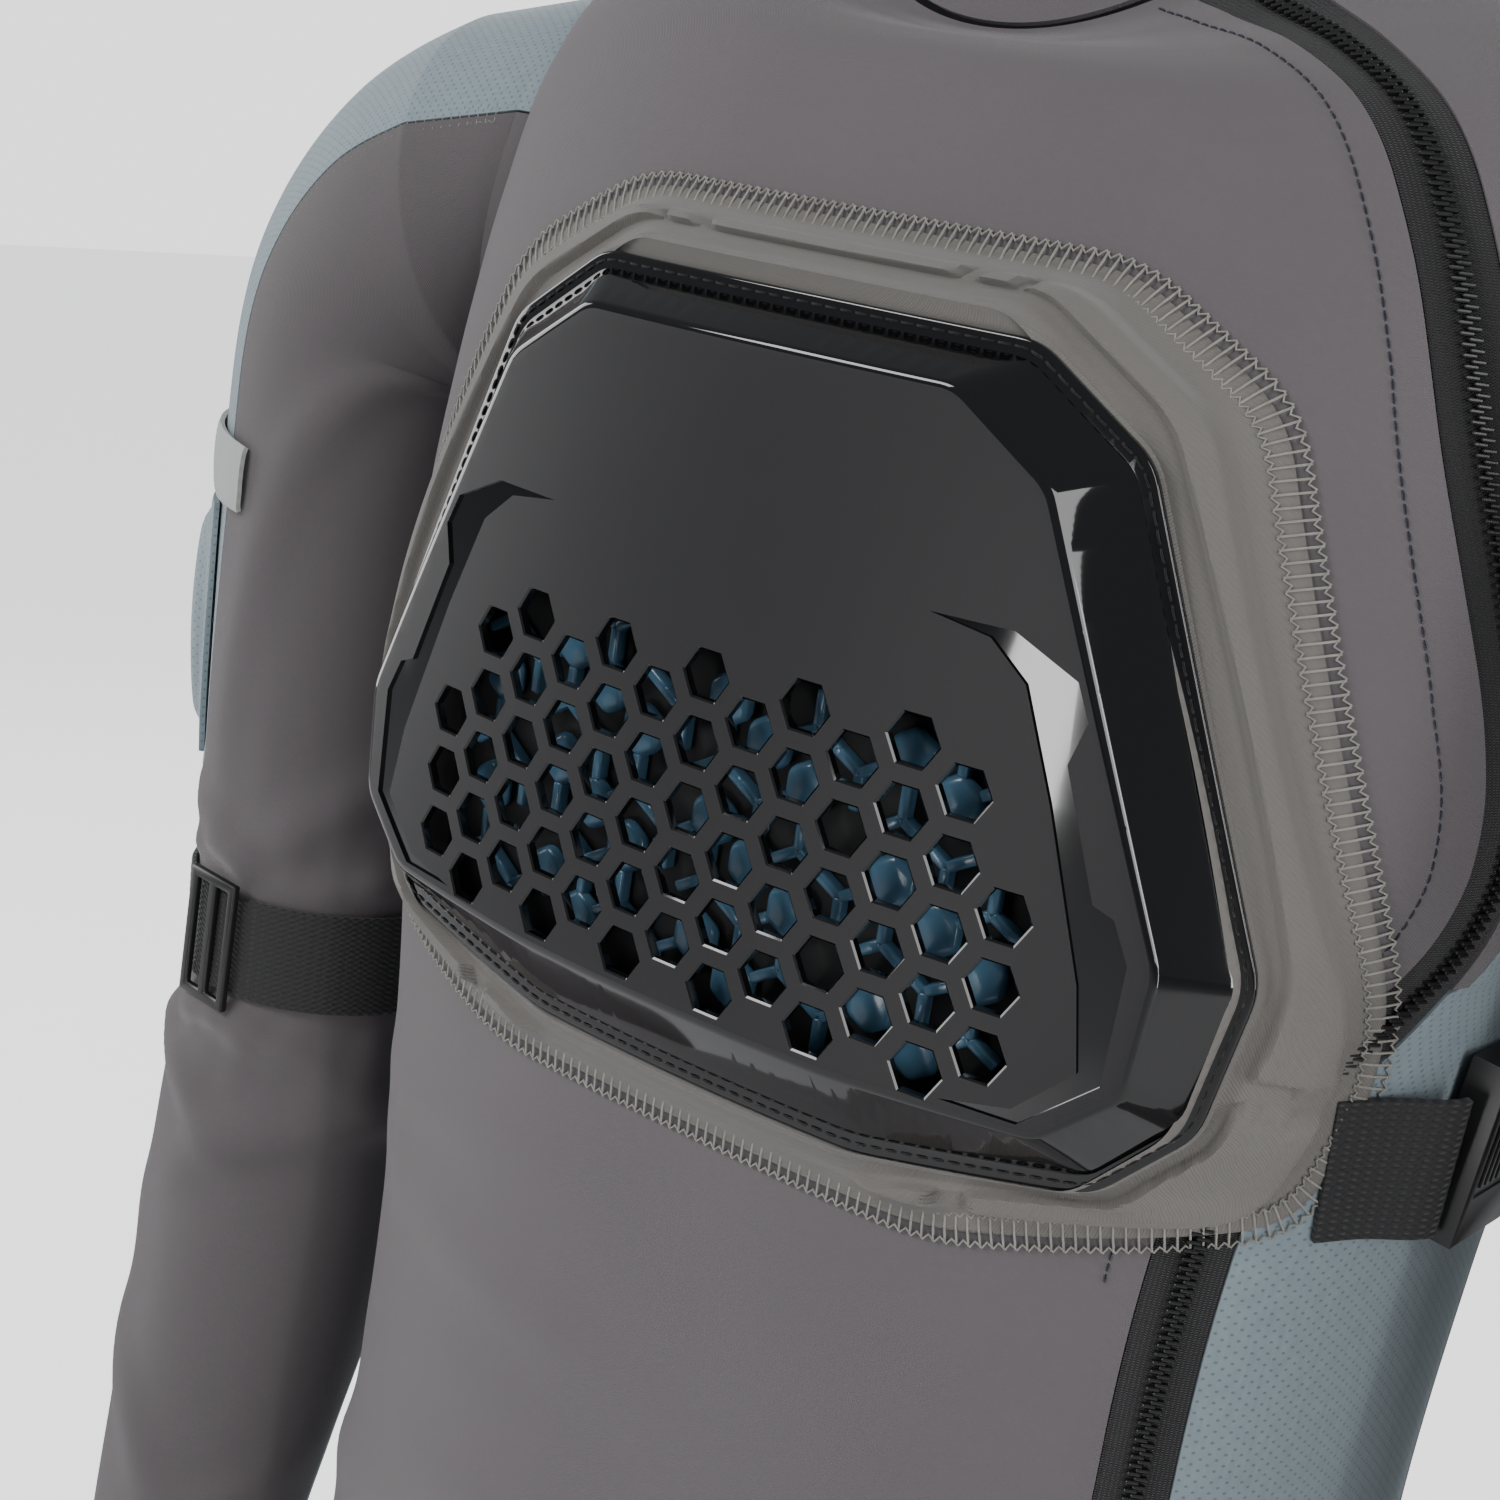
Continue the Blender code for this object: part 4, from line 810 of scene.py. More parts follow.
def open_armhole(piece):
    """Remove what lies inside the armholes and draw the new edge onto the oval."""
    mesh = bmesh.new()
    mesh.from_mesh(piece.data)

    def oval(vert):
        along = (vert.co.y - ARMHOLE[1]) / ARMHOLE_HALF_DEPTH
        high = (vert.co.z - ARMHOLE[2]) / ARMHOLE_HALF_HEIGHT
        return math.hypot(along, high)

    inside = [v for v in mesh.verts if abs(v.co.x) > 0.6 * HALF_CHEST and oval(v) < 1]
    rim = {v for old in inside for edge in old.link_edges for v in (edge.other_vert(old),)}
    rim |= {v for old in inside for face in old.link_faces for v in face.verts}
    rim -= set(inside)
    bmesh.ops.delete(mesh, geom=inside, context="VERTS")
    for vert in rim:
        if not vert.is_valid:
            continue
        size = oval(vert)
        side = math.copysign(1, vert.co.x)
        vert.co.y = ARMHOLE[1] + (vert.co.y - ARMHOLE[1]) / size
        vert.co.z = ARMHOLE[2] + (vert.co.z - ARMHOLE[2]) / size
        vert.co.x = side * side_reach(vert.co.y, vert.co.z)
    loose = [v for v in mesh.verts if not v.link_faces]
    bmesh.ops.delete(mesh, geom=loose, context="VERTS")
    mesh.to_mesh(piece.data)
    mesh.free()
    return piece


# %% Panels of the trunk
TOP = NECK_ROW
front_cloth = trunk_panel("front_cloth", panel_rows(0, TOP), lambda r: -side_seam(r, True),
                          lambda r: zipper_edge(r, -1), 76)
back_cloth = trunk_panel("back_cloth", panel_rows(0, TOP), lambda r: side_seam(r, False),
                         lambda r: 4 - side_seam(r, False), 84)
right_side_cloth = trunk_panel("side_cloth_right", panel_rows(0, SIDE_TOP),
                               lambda r: -side_seam(r, False) + seam_gap(r),
                               lambda r: -side_seam(r, True) - seam_gap(r), 14)
left_side_cloth = trunk_panel("side_cloth_left", panel_rows(0, SIDE_TOP), left_side_start,
                              lambda r: side_seam(r, False) - seam_gap(r), 26)
left_front_cloth = trunk_panel("front_left_cloth", panel_rows(TIP_ROW, TOP), lambda r: zipper_edge(r, 1),
                               lambda r: min(left_strip_seam(r), 1.0), 22)
collar_cloth = trunk_panel("collar_cloth", panel_rows(NECK_ROW + 0.18, COLLAR_ROW),
                           lambda r: zipper_edge(r, 1), lambda r: 4 + zipper_edge(r, -1), 120, folds=False)
TRUNK = (
    (front_cloth, BODY_TWILL, "front_body", "twill"),
    (back_cloth, BODY_TWILL, "back_body", "twill"),
    (right_side_cloth, HEATHER, "side_panel_right", "mesh"),
    (left_side_cloth, HEATHER, "side_panel_left", "mesh"),
    (left_front_cloth, BODY_TWILL, "front_left_panel", "twill"),
    (collar_cloth, BODY_TWILL, "collar", "twill"),
)
for piece, finish, node, slot_name in TRUNK:
    if piece is not collar_cloth:
        open_armhole(piece)
    finish_piece(cloth(piece), finish, node, slot=slot_name)

# %% [markdown]
# The sleeves hang from the armholes. Elastic pulls them in at the elbow strap, so the cloth gathers into
# short folds above and below it, and longer folds cross the inside of the elbow and the cuff.

# %% Folds of the sleeves
SLEEVE_FOLDS = np.array([
    (-30, 5.2, 60, 0.070, 0.009, 0.0022),
    (10, 7.2, 75, 0.080, 0.010, 0.0016),
    (-40, 8.1, 30, 0.060, 0.008, 0.0020),
    (0, 8.6, -28, 0.055, 0.006, 0.0022),
    (28, 8.75, 24, 0.050, 0.006, 0.0018),
    (-60, 8.7, 15, 0.060, 0.007, 0.0022),
    (10, 10.2, 18, 0.060, 0.006, 0.0024),
    (-35, 10.45, -20, 0.065, 0.007, 0.0026),
    (25, 10.8, -25, 0.060, 0.007, 0.0022),
    (-10, 11.3, 30, 0.075, 0.009, 0.0022),
    (-70, 11.0, 10, 0.060, 0.008, 0.0024),
    (150, 8.8, 20, 0.060, 0.008, 0.0022),
    (160, 10.4, -18, 0.065, 0.008, 0.0026),
    (20, 13.2, -30, 0.070, 0.009, 0.0018),
    (-40, 13.9, 22, 0.060, 0.008, 0.0018),
    (160, 12.8, 25, 0.070, 0.009, 0.0020),
    (130, 4.6, -50, 0.060, 0.009, 0.0020),
])
FOLD_DEPTH = 1.5
STRAP_HALF = 0.52       # stations from the strap's middle to its edge
STATION_LENGTH = 0.040  # metres of cloth for one station


def sleeve_lift(side, angles, station):
    """Outward lift of a sleeve's cloth: long folds, and gathers beside the elbow strap."""
    metres = math.radians(1) * ARM_RADIUS
    lift = np.zeros(len(angles))
    for angle, place, slope, length, width, size in SLEEVE_FOLDS:
        down = (station - place) * STATION_LENGTH
        for turn in (0, 360):
            round_arm = (angles - angle + turn) * metres
            lift += FOLD_DEPTH * size * ridge(round_arm, down, slope, length, width)
    beside = abs(station - STRAP_STATION) - STRAP_HALF
    near = np.exp(-max(beside, 0) / 0.42)
    pleats = np.sin(np.radians(angles) * 13 + 2.1 * math.sin(station * 2.3)) \
        + 0.6 * np.sin(np.radians(angles) * 21 - station * 1.7)
    lift += 0.0009 * near * pleats * min(max(beside / 0.12, 0), 1)
    flat = 1 - np.exp(-(max(beside, 0) / 0.20) ** 2)
    root = min(max((station - 1.2) / 1.5, 0), 1)
    return lift * flat * root


def sleeve_grid(name, side, low, high, start, end, columns, off=0.0, steps=20, folds=1.0):
    """Grid of a sleeve panel, rows from the root down, columns so that the outside faces out."""
    stations = np.linspace(low, high, int(round((high - low) * steps)) + 1)
    points = []
    for station in stations:
        angles = np.linspace(start(station), end(station), columns + 1)
        lift = sleeve_lift(side, angles, station) * folds
        edge = np.minimum(np.arange(columns + 1), np.arange(columns + 1)[::-1]) / 2
        points.append(on_sleeve(side, angles, station, off + lift * np.clip(edge, 0.25, 1)))
    points = np.array(points)
    return grid_piece(name, points[:, ::-1] if side > 0 else points)


def angle_gap(clear=GAP):
    return math.degrees(clear / ARM_RADIUS)


# %% Panels of the sleeves
SIDES = {-1: "_right", 1: "_left"}
SEAM = angle_gap()
for side, tail in SIDES.items():
    # Front and back sleeve panels take the darker twill, which is painted shade.
    parts = (
        ("sleeve_front", 0, CUFF, lambda s: UNDER_FRONT - 360 + SEAM, lambda s: strip_front(s) - SEAM, 54,
         SHADED_SLEEVE_TWILL, "twill"),
        ("sleeve_back", 0, CUFF, lambda s: STRIP_BACK + SEAM, lambda s: UNDER_BACK - SEAM, 34,
         SHADED_SLEEVE_TWILL, "twill"),
        ("sleeve_under", 0, CUFF, lambda s: UNDER_BACK + SEAM, lambda s: UNDER_FRONT - SEAM, 16,
         HEATHER, "mesh"),
        ("shoulder_cap", 0, CAP_END, lambda s: strip_front(s) + SEAM, lambda s: STRIP_BACK - SEAM, 36,
         HEATHER, "mesh"),
        ("sleeve_strip", CAP_END + 0.01, CUFF, lambda s: strip_front(s) + SEAM,
         lambda s: STRIP_BACK - SEAM, 32, HEATHER, "mesh"),
    )
    for name, low, high, start, end, columns, finish, slot_name in parts:
        piece = sleeve_grid(name + "_cloth" + tail, side, low, high, start, end, columns)
        finish_piece(cloth(piece), finish, name + tail, slot=slot_name)

# %% [markdown]
# The chest plate is one moulding. Its outline is an octagon with a wide foot; a matte field stands
# 14 mm in front of a sewn rim, with a gloss bevel between them. The plate is made flat: rings of points
# step from the field over the bevel to the rim and back behind, and every edge between two rings gets a
# small radius. It is bent to the chest's curve only at the end, so that holes can be cut straight.

# %% Sizes and outlines of the armour
PITCH = 0.017
VENT_FLATS = 0.0118
ARMOUR_RADIUS = 0.553
ARMOUR_LEVEL = -0.200
ARMOUR_FRONT = -0.130
PLATE_HALF_WIDTH = 0.146
PLATE_HALF_HEIGHT = 0.101
PLATE_DEPTH = 0.014
PLATE_WALL = 0.0025
RIM = 0.005
ACCENT_DEPTH = 0.0008
VENT_COLUMN = PITCH * math.sqrt(3) / 2
PLATE_SIZE = np.array([PLATE_HALF_WIDTH, PLATE_HALF_HEIGHT])
PAD_SIZE = np.array([HALF_CHEST, PLATE_HALF_HEIGHT])

# Right half of each outline from the top, at matching corners. Field and rim are shares of the plate's
# half sizes; the pad's edge is a share of the half chest round the body, and of the half height.
OUTLINE_COLUMNS = ("field_s", "field_t", "rim_s", "rim_t", "pad_s", "pad_t")
OUTLINE = np.array([
    (0.373, 0.798, 0.453, 0.914, 0.420, 1.090),
    (0.553, 0.625, 0.673, 0.707, 0.660, 0.840),
    (0.860, -0.365, 1.000, -0.385, 0.975, -0.400),
    (0.846, -0.664, 0.953, -0.760, 0.985, -0.660),
    (0.713, -0.827, 0.806, -0.971, 0.915, -0.980),
    (0.340, -0.850, 0.373, -1.077, 0.420, -1.222),
])
EDGE_STEP = 0.0022
CORNER_STEPS = 5
FIELD_CORNER = 0.0040
RIM_CORNER = 0.0055
PAD_CORNER = 0.012


def armour_point(s, t, depth):
    """Place of the armour's s (round its curve), t (up) and depth behind the field, as arrays."""
    turn = np.asarray(s) / ARMOUR_RADIUS
    radius = ARMOUR_RADIUS - np.asarray(depth)
    return np.stack([radius * np.sin(turn), ARMOUR_FRONT + ARMOUR_RADIUS - radius * np.cos(turn),
                     ARMOUR_LEVEL + np.asarray(t) + 0 * turn], axis=-1)


def mirrored(half):
    """Whole outline, clockwise from the upper right corner, from its right half."""
    return np.concatenate([half, half[::-1] * np.array([-1, 1])])


def rounded(corners, radius, steps, counts):
    """Outline with each corner turned through a small curve and each side cut into its count."""
    points = []
    number = len(corners)
    for index in range(number):
        corner = corners[index]
        before = corners[index - 1] - corner
        after = corners[(index + 1) % number] - corner
        first = corner + before / np.linalg.norm(before) * radius
        last = corner + after / np.linalg.norm(after) * radius
        for share in np.linspace(0, 1, steps + 1):
            points.append((1 - share) ** 2 * first + 2 * share * (1 - share) * corner + share ** 2 * last)
        following = corners[(index + 1) % number]
        onward = following + (corner - following) / np.linalg.norm(corner - following) * radius
        for share in np.linspace(0, 1, counts[index] + 1)[1:-1]:
            points.append(last + (onward - last) * share)
    return np.array(points)


RIM_CORNERS = mirrored(OUTLINE[:, 2:4] * PLATE_SIZE)
SIDE_LENGTHS = np.linalg.norm(RIM_CORNERS - np.roll(RIM_CORNERS, -1, axis=0), axis=1)
SIDE_COUNTS = [max(3, int(length / EDGE_STEP)) for length in SIDE_LENGTHS]
PAD_CORNERS = mirrored(OUTLINE[:, 4:6] * PAD_SIZE)
FIELD_RING = rounded(mirrored(OUTLINE[:, 0:2] * PLATE_SIZE), FIELD_CORNER, CORNER_STEPS, SIDE_COUNTS)
RIM_RING = rounded(RIM_CORNERS, RIM_CORNER, CORNER_STEPS, SIDE_COUNTS)
PAD_RING = rounded(PAD_CORNERS, PAD_CORNER, CORNER_STEPS, SIDE_COUNTS)


def outset(ring, amount):
    """Ring moved outwards along its own normals."""
    along = np.roll(ring, -1, axis=0) - np.roll(ring, 1, axis=0)
    normal = np.stack([-along[:, 1], along[:, 0]], axis=1)
    return ring + amount * unit(normal)


print("armour rings of", len(RIM_RING), "points, from a table of", ", ".join(OUTLINE_COLUMNS))

# %% Chest plate: rings, rounded edges and the flat blank


def flat_ring(ring, depth):
    """A ring in the flat frame: x is s, y is depth and z is t."""
    return np.stack([ring[:, 0], np.full(len(ring), depth), ring[:, 1]], axis=1)


def eased_rings(rings, radii, steps=4):
    """Rings with a rounded step in place of each one that has a radius."""
    result = [rings[0]]
    for index in range(1, len(rings) - 1):
        corner = rings[index]
        radius = radii[index]
        if not radius:
            result.append(corner)
            continue
        first = corner + unit(rings[index - 1] - corner) * radius
        last = corner + unit(rings[index + 1] - corner) * radius
        for share in np.linspace(0, 1, steps + 1):
            result.append((1 - share) ** 2 * first + 2 * share * (1 - share) * corner + share ** 2 * last)
    result.append(rings[-1])
    return result


def ring_piece(name, rings):
    """A closed tube of rings, filled at both ends."""
    rows = [np.concatenate([ring, ring[:1]]) for ring in rings]
    piece = grid_piece(name, np.array(rows), closed=True)
    bpy.ops.object.mode_set(mode="EDIT")
    bpy.ops.mesh.select_all(action="SELECT")
    bpy.ops.mesh.select_mode(type="EDGE")
    bpy.ops.mesh.region_to_loop()
    bpy.ops.mesh.fill_holes(sides=0)
    bpy.ops.mesh.select_mode(type="VERT")
    bpy.ops.object.mode_set(mode="OBJECT")
    face_outwards(piece)
    return piece


foot = outset(RIM_RING, -RIM)
back_depth = PLATE_DEPTH + PLATE_WALL * 0.8
plate_rings = eased_rings(
    [flat_ring(outset(FIELD_RING, -0.004), 0), flat_ring(FIELD_RING, 0),
     flat_ring(foot, PLATE_DEPTH - 0.0008), flat_ring(outset(foot, 0.0007), PLATE_DEPTH),
     flat_ring(RIM_RING, PLATE_DEPTH), flat_ring(RIM_RING, back_depth),
     flat_ring(outset(foot, -PLATE_WALL * 0.9), back_depth), flat_ring(FIELD_RING * 0.983, PLATE_WALL)],
    [0, 0.0014, 0.0012, 0, 0.0009, 0, 0.0006, 0])
plate = ring_piece("chest_plate_moulding", plate_rings)
print("plate blank:", len(plate.data.polygons), "faces")

# %% [markdown]
# The vents are hexagons with a flat top, 17 mm apart, in thirteen staggered columns. One cutter is
# modelled with a slightly wider mouth, which leaves a small chamfer, and is copied to every place.
# The two glossy brackets are sunk by a shallow cutter of their outline.

# %% Chest plate: vents and brackets
ACCENT = np.array([
    (0.393, 0.298), (0.540, 0.302), (0.653, 0.227), (0.680, 0.144), (0.660, 0.042),
    (0.740, -0.250), (0.777, -0.269), (0.811, -0.365), (0.806, -0.654), (0.686, -0.802),
    (0.550, -0.804), (0.673, -0.769), (0.766, -0.640), (0.740, -0.442), (0.645, -0.058),
    (0.572, 0.192), (0.502, 0.275),
])


def vent_places():
    """Centres of the vents: five deep in each column, three at the two ends."""
    places = []
    for column in range(-6, 7):
        first, last = (0.5, 4.5) if column % 2 else (0, 4)
        if abs(column) == 6:
            first, last = 2, 4
        for index in range(int(last - first) + 1):
            places.append((column * VENT_COLUMN, -(first + index) * PITCH))
    return places


def place_mesh(piece, change):
    """Move the piece's points by a function of an array of places."""
    mesh = piece.data
    points = np.empty(3 * len(mesh.vertices), dtype=np.float32)
    mesh.vertices.foreach_get("co", points)
    moved = change(points.reshape(-1, 3).astype(float))
    mesh.vertices.foreach_set("co", moved.reshape(-1).astype(np.float32))
    mesh.update()


def hexagon_cutter(flats, mouth, deep):
    """Prism on the depth axis with a mouth a little wider than its shaft."""
    radius = flats / math.sqrt(3)
    bpy.ops.object.select_all(action="DESELECT")
    bpy.ops.mesh.primitive_cylinder_add(vertices=6, radius=radius, depth=deep, rotation=(math.pi / 2, 0, 0))
    cutter = bpy.context.object
    bpy.ops.object.transform_apply(location=True, rotation=True, scale=True)
    turn = math.radians(30)
    place_mesh(cutter, lambda p: np.stack([
        p[:, 0] * math.cos(turn) - p[:, 2] * math.sin(turn), p[:, 1],
        p[:, 0] * math.sin(turn) + p[:, 2] * math.cos(turn)], axis=1))
    activate(cutter)
    bpy.ops.object.mode_set(mode="EDIT")
    bpy.ops.mesh.select_all(action="SELECT")
    bpy.ops.mesh.bisect(plane_co=(0, mouth, 0), plane_no=(0, 1, 0))
    bpy.ops.object.mode_set(mode="OBJECT")
    widen = 1 + 2 * (mouth + deep / 2) / radius * 0.7
    place_mesh(cutter, lambda p: p * np.where(p[:, 1:2] < mouth - 1e-5, [[widen, 1, widen]], [[1, 1, 1]]))
    return cutter


def copies(source, name, places):
    """One object from copies of a mesh at places (x, y, z); the source is removed."""
    joined = bmesh.new()
    for place in places:
        part = source.data.copy()
        part.transform(Matrix.Translation(Vector(place)))
        joined.from_mesh(part)
        bpy.data.meshes.remove(part)
    bpy.data.objects.remove(source, do_unlink=True)
    mesh = bpy.data.meshes.new(name)
    joined.to_mesh(mesh)
    joined.free()
    piece = bpy.data.objects.new(name, mesh)
    bpy.context.scene.collection.objects.link(piece)
    return piece


def cut_away(piece, cutter):
    apply_modifier(piece, "BOOLEAN", operation="DIFFERENCE", solver="EXACT", object=cutter)
    bpy.data.objects.remove(cutter, do_unlink=True)


CHAMFER = 0.0004
vent = hexagon_cutter(VENT_FLATS, CHAMFER, 4 * PLATE_WALL)
vents = copies(vent, "vent_cutters", [(s, 0, t) for s, t in vent_places()])
cut_away(plate, vents)


def outline_cutter(name, outline, near, far):
    """Prism over an outline of (s, t) from one depth to another."""
    bpy.ops.object.select_all(action="DESELECT")
    bpy.ops.mesh.primitive_circle_add(vertices=len(outline), fill_type="NGON")
    piece = bpy.context.object
    piece.name = name
    place_mesh(piece, lambda p: np.stack([outline[:, 0], np.full(len(outline), near), outline[:, 1]], axis=1))
    activate(piece)
    bpy.ops.object.mode_set(mode="EDIT")
    bpy.ops.mesh.select_all(action="SELECT")
    bpy.ops.mesh.extrude_region_move(TRANSFORM_OT_translate={"value": (0, far - near, 0)})
    bpy.ops.object.mode_set(mode="OBJECT")
    face_outwards(piece)
    return piece


accent_right = ACCENT * PLATE_SIZE
for outline in (accent_right, accent_right[::-1] * np.array([-1, 1])):
    cut_away(plate, outline_cutter("accent_cutter", outline, -ACCENT_DEPTH, ACCENT_DEPTH))
print("plate with vents and brackets:", len(plate.data.polygons), "faces")

# %% [markdown]
# Faces of the field keep the matte finish and all others are gloss. Before the plate is bent, upright
# cuts every few millimetres give it enough points to follow the curve.

# %% Chest plate: finishes and bend


def bend_to_armour(piece, step, reach):
    activate(piece)
    bpy.ops.object.mode_set(mode="EDIT")
    for s in np.arange(-reach, reach + step / 2, step):
        bpy.ops.mesh.select_all(action="SELECT")
        bpy.ops.mesh.bisect(plane_co=(float(s), 0, 0), plane_no=(1, 0, 0))
    bpy.ops.object.mode_set(mode="OBJECT")
    place_mesh(piece, lambda p: armour_point(p[:, 0], p[:, 2], p[:, 1]))


plate.data.materials.clear()
for finish in (GLOSS_BLACK, FIELD_BLACK):
    plate.data.materials.append(finish)
for face in plate.data.polygons:
    face.material_index = 1 if abs(face.center.y) < 0.00002 and face.normal.y < -0.99 else 0
bend_to_armour(plate, 0.006, PLATE_HALF_WIDTH)
smooth(plate, 32)
finish_piece(plate, None, "chest_plate", slot="black_plate")
print("chest plate:", len(plate.data.polygons), "faces")

# %% [markdown]
# Behind the vents lies a lattice of blue ribs over a dark sheet. It shows only through the holes, as
# domes, straight ribs and three-armed crossings, so those three shapes are modelled and repeated.

# %% Lattice behind the vents
LINER_WALL = 0.0045
BACKING_WALL = 0.0012
LINER_HALF_WIDTH = 0.101
LINER_HALF_HEIGHT = 0.050
LINER_MIDDLE = -2.25 * PITCH
CELL = 0.92 * PITCH
backing_front = back_depth - BACKING_WALL
rib_back = backing_front - GAP


def slab(name, half_width, low, high, near, far):
    """Flat block in the armour's own frame, ready to be bent."""
    bpy.ops.object.select_all(action="DESELECT")
    bpy.ops.mesh.primitive_cube_add(size=1, location=(0, (near + far) / 2, (low + high) / 2),
                                    scale=(2 * half_width, far - near, high - low))
    piece = bpy.context.object
    piece.name = name
    bpy.ops.object.transform_apply(location=True, rotation=True, scale=True)
    apply_modifier(piece, "BEVEL", width=min(0.0003, 0.2 * (far - near)), segments=2)
    return piece


def dome(flats, near, far):
    """Six-sided tile whose front is drawn in and rounded."""
    bpy.ops.object.select_all(action="DESELECT")
    bpy.ops.mesh.primitive_cylinder_add(vertices=6, radius=flats / math.sqrt(3), depth=far - near,
                                        location=(0, (near + far) / 2, 0), rotation=(math.pi / 2, 0, 0))
    piece = bpy.context.object
    bpy.ops.object.transform_apply(location=True, rotation=True, scale=True)
    apply_modifier(piece, "BEVEL", width=0.25 * flats, segments=4, limit_method="ANGLE")
    return piece


def crossing(reach, width, near, far, start=90):
    """Three ribs that meet in a point."""
    arms = bmesh.new()
    for index in range(3):
        bpy.ops.object.select_all(action="DESELECT")
        bpy.ops.mesh.primitive_cube_add(size=1, location=(reach / 2, (near + far) / 2, 0),
                                        scale=(reach, far - near, width))
        arm = bpy.context.object
        bpy.ops.object.transform_apply(location=True, rotation=True, scale=True)
        apply_modifier(arm, "BEVEL", width=0.28 * width, segments=3)
        arm.data.transform(Matrix.Rotation(math.radians(start + 120 * index), 4, "Y"))
        arms.from_mesh(arm.data)
        bpy.data.objects.remove(arm, do_unlink=True)
    mesh = bpy.data.meshes.new("crossing")
    arms.to_mesh(mesh)
    arms.free()
    piece = bpy.data.objects.new("crossing", mesh)
    bpy.context.scene.collection.objects.link(piece)
    return piece


domes, crossings, flipped = [], [], []
for column in range(-7, 8):
    for row in range(-4, 5):
        s = column * CELL * math.sqrt(3) / 2
        t = LINER_MIDDLE + (row + 0.5 * (column % 2)) * CELL
        inside = abs(s) < LINER_HALF_WIDTH - 0.010 and abs(t - LINER_MIDDLE) < LINER_HALF_HEIGHT - 0.008
        if not inside:
            continue
        kind = (column + 2 * row) % 4
        if kind == 1:
            crossings.append((s, 0, t))
        elif kind == 2:
            flipped.append((s, 0, t))
        elif kind == 0 or row % 2:
            domes.append((s, 0, t))
backing = slab("vent_backing_sheet", LINER_HALF_WIDTH, LINER_MIDDLE - LINER_HALF_HEIGHT,
               LINER_MIDDLE + LINER_HALF_HEIGHT * 0.8, backing_front, back_depth)
pieces = [
    copies(dome(CELL * 0.86, rib_back - LINER_WALL, rib_back), "lattice_domes", domes),
    copies(crossing(CELL * 0.60, 0.0030, rib_back - 0.9 * LINER_WALL, rib_back, 90), "lattice_y", crossings),
    copies(crossing(CELL * 0.60, 0.0030, rib_back - 0.9 * LINER_WALL, rib_back, 30), "lattice_v", flipped),
]
activate(pieces[0])
for piece in pieces:
    piece.select_set(True)
bpy.ops.object.join()
lattice = pieces[0]
lattice.name = "vent_lattice"
place_mesh(lattice, lambda p: armour_point(p[:, 0], p[:, 2], p[:, 1]))
bend_to_armour(backing, 0.006, LINER_HALF_WIDTH)
for piece, finish, node, slot_name in ((lattice, LATTICE_BLUE, "vent_liner", "liner"),
                                       (backing, DARK_SHEET, "vent_backing", "webbing")):
    smooth(piece)
    finish_piece(piece, finish, node, slot=slot_name)
print("lattice:", len(domes), "domes,", len(crossings) + len(flipped), "crossings")

# %% [markdown]
# The pad under the plate is foam moulded between two cloths. From the plate outwards it has a sunk
# margin, a raised band and a flat edge that is sewn to the shirt. Channels cross the band where it has
# to bend. It is a padded piece, so its front follows a rule: a height for each distance from the plate.

# %% Pad: places on the body
PAD_MARGIN = 0.011
PAD_BAND = 0.0035
PAD_LEAST = 0.001
PAD_CROWN = 0.10        # extra height in the band's middle, as a share
PAD_SEWN = 0.0085       # width of the flat sewn edge
PAD_HEM = 0.0014        # thickness of the sewn edge
PAD_FACE = back_depth + 2 * GAP


def body_under(points):
    """Turn, row, place and normal of the body below each of an array of points."""
    turns_table = np.linspace(0, 1.2, 121)
    result = []
    for point in points:
        row = row_at(point[2])
        line = body_line(turns_table, row)
        bearings = np.arctan2(line[:, 0], -line[:, 1])
        turn = float(np.interp(math.atan2(abs(point[0]), -point[1]), bearings, turns_table))
        turn = math.copysign(turn, point[0])
        base = body_line([turn], row)[0]
        normal = body_normals([turn], row)[0]
        result.append(np.concatenate([[turn, row], base, normal]))
    return np.array(result)


def arc_turn(arc, row):
    quarters = section(row)[0]
    front, back = quarters[0][2][-1], quarters[1][2][-1]
    size = abs(arc)
    turn = size / front if size <= front else 1 + (size - front) / back
    return math.copysign(turn, arc)


def pad_edge(ring, off):
    """Places on the body for a ring of (arc, t)."""
    places = []
    for arc, t in ring:
        row = row_at(ARMOUR_LEVEL + t)
        places.append(on_body(arc_turn(arc, row), row, off)[0])
    return np.array(places)


# Channels across the band: ends as (arc / half chest, t / half height), drawn on the right half.
CHANNEL_COLUMNS = ("arc", "t", "end_arc", "end_t", "half_width")
CHANNELS = np.array([
    (0.250, 0.940, 0.275, 1.140, 0.0028),
    (0.330, 0.940, 0.385, 1.100, 0.0016),
    (0.770, -0.600, 0.985, -0.680, 0.0030),
    (0.300, -1.040, 0.262, -1.200, 0.0028),
    (0.500, -1.040, 0.455, -1.200, 0.0030),
])


def channel_share(places):
    """1 on the band and 0 in a channel, for places as (arc, t) in metres."""
    share = np.ones(len(places))
    for a0, t0, a1, t1, half in CHANNELS:
        for mirror in (1, -1):
            first = np.array([a0 * mirror, t0]) * PAD_SIZE
            last = np.array([a1 * mirror, t1]) * PAD_SIZE
            line = last - first
            along = np.clip(((places - first) @ line) / (line @ line), 0, 1)
            gap = np.linalg.norm(places - first - along[:, None] * line, axis=1)
            share = np.minimum(share, np.clip((gap - half) / 0.0016, 0, 1))
    return share * share * (3 - 2 * share)


def soft_step(value, start, width):
    share = np.clip((value - start) / width, 0, 1)
    return share * share * (3 - 2 * share)


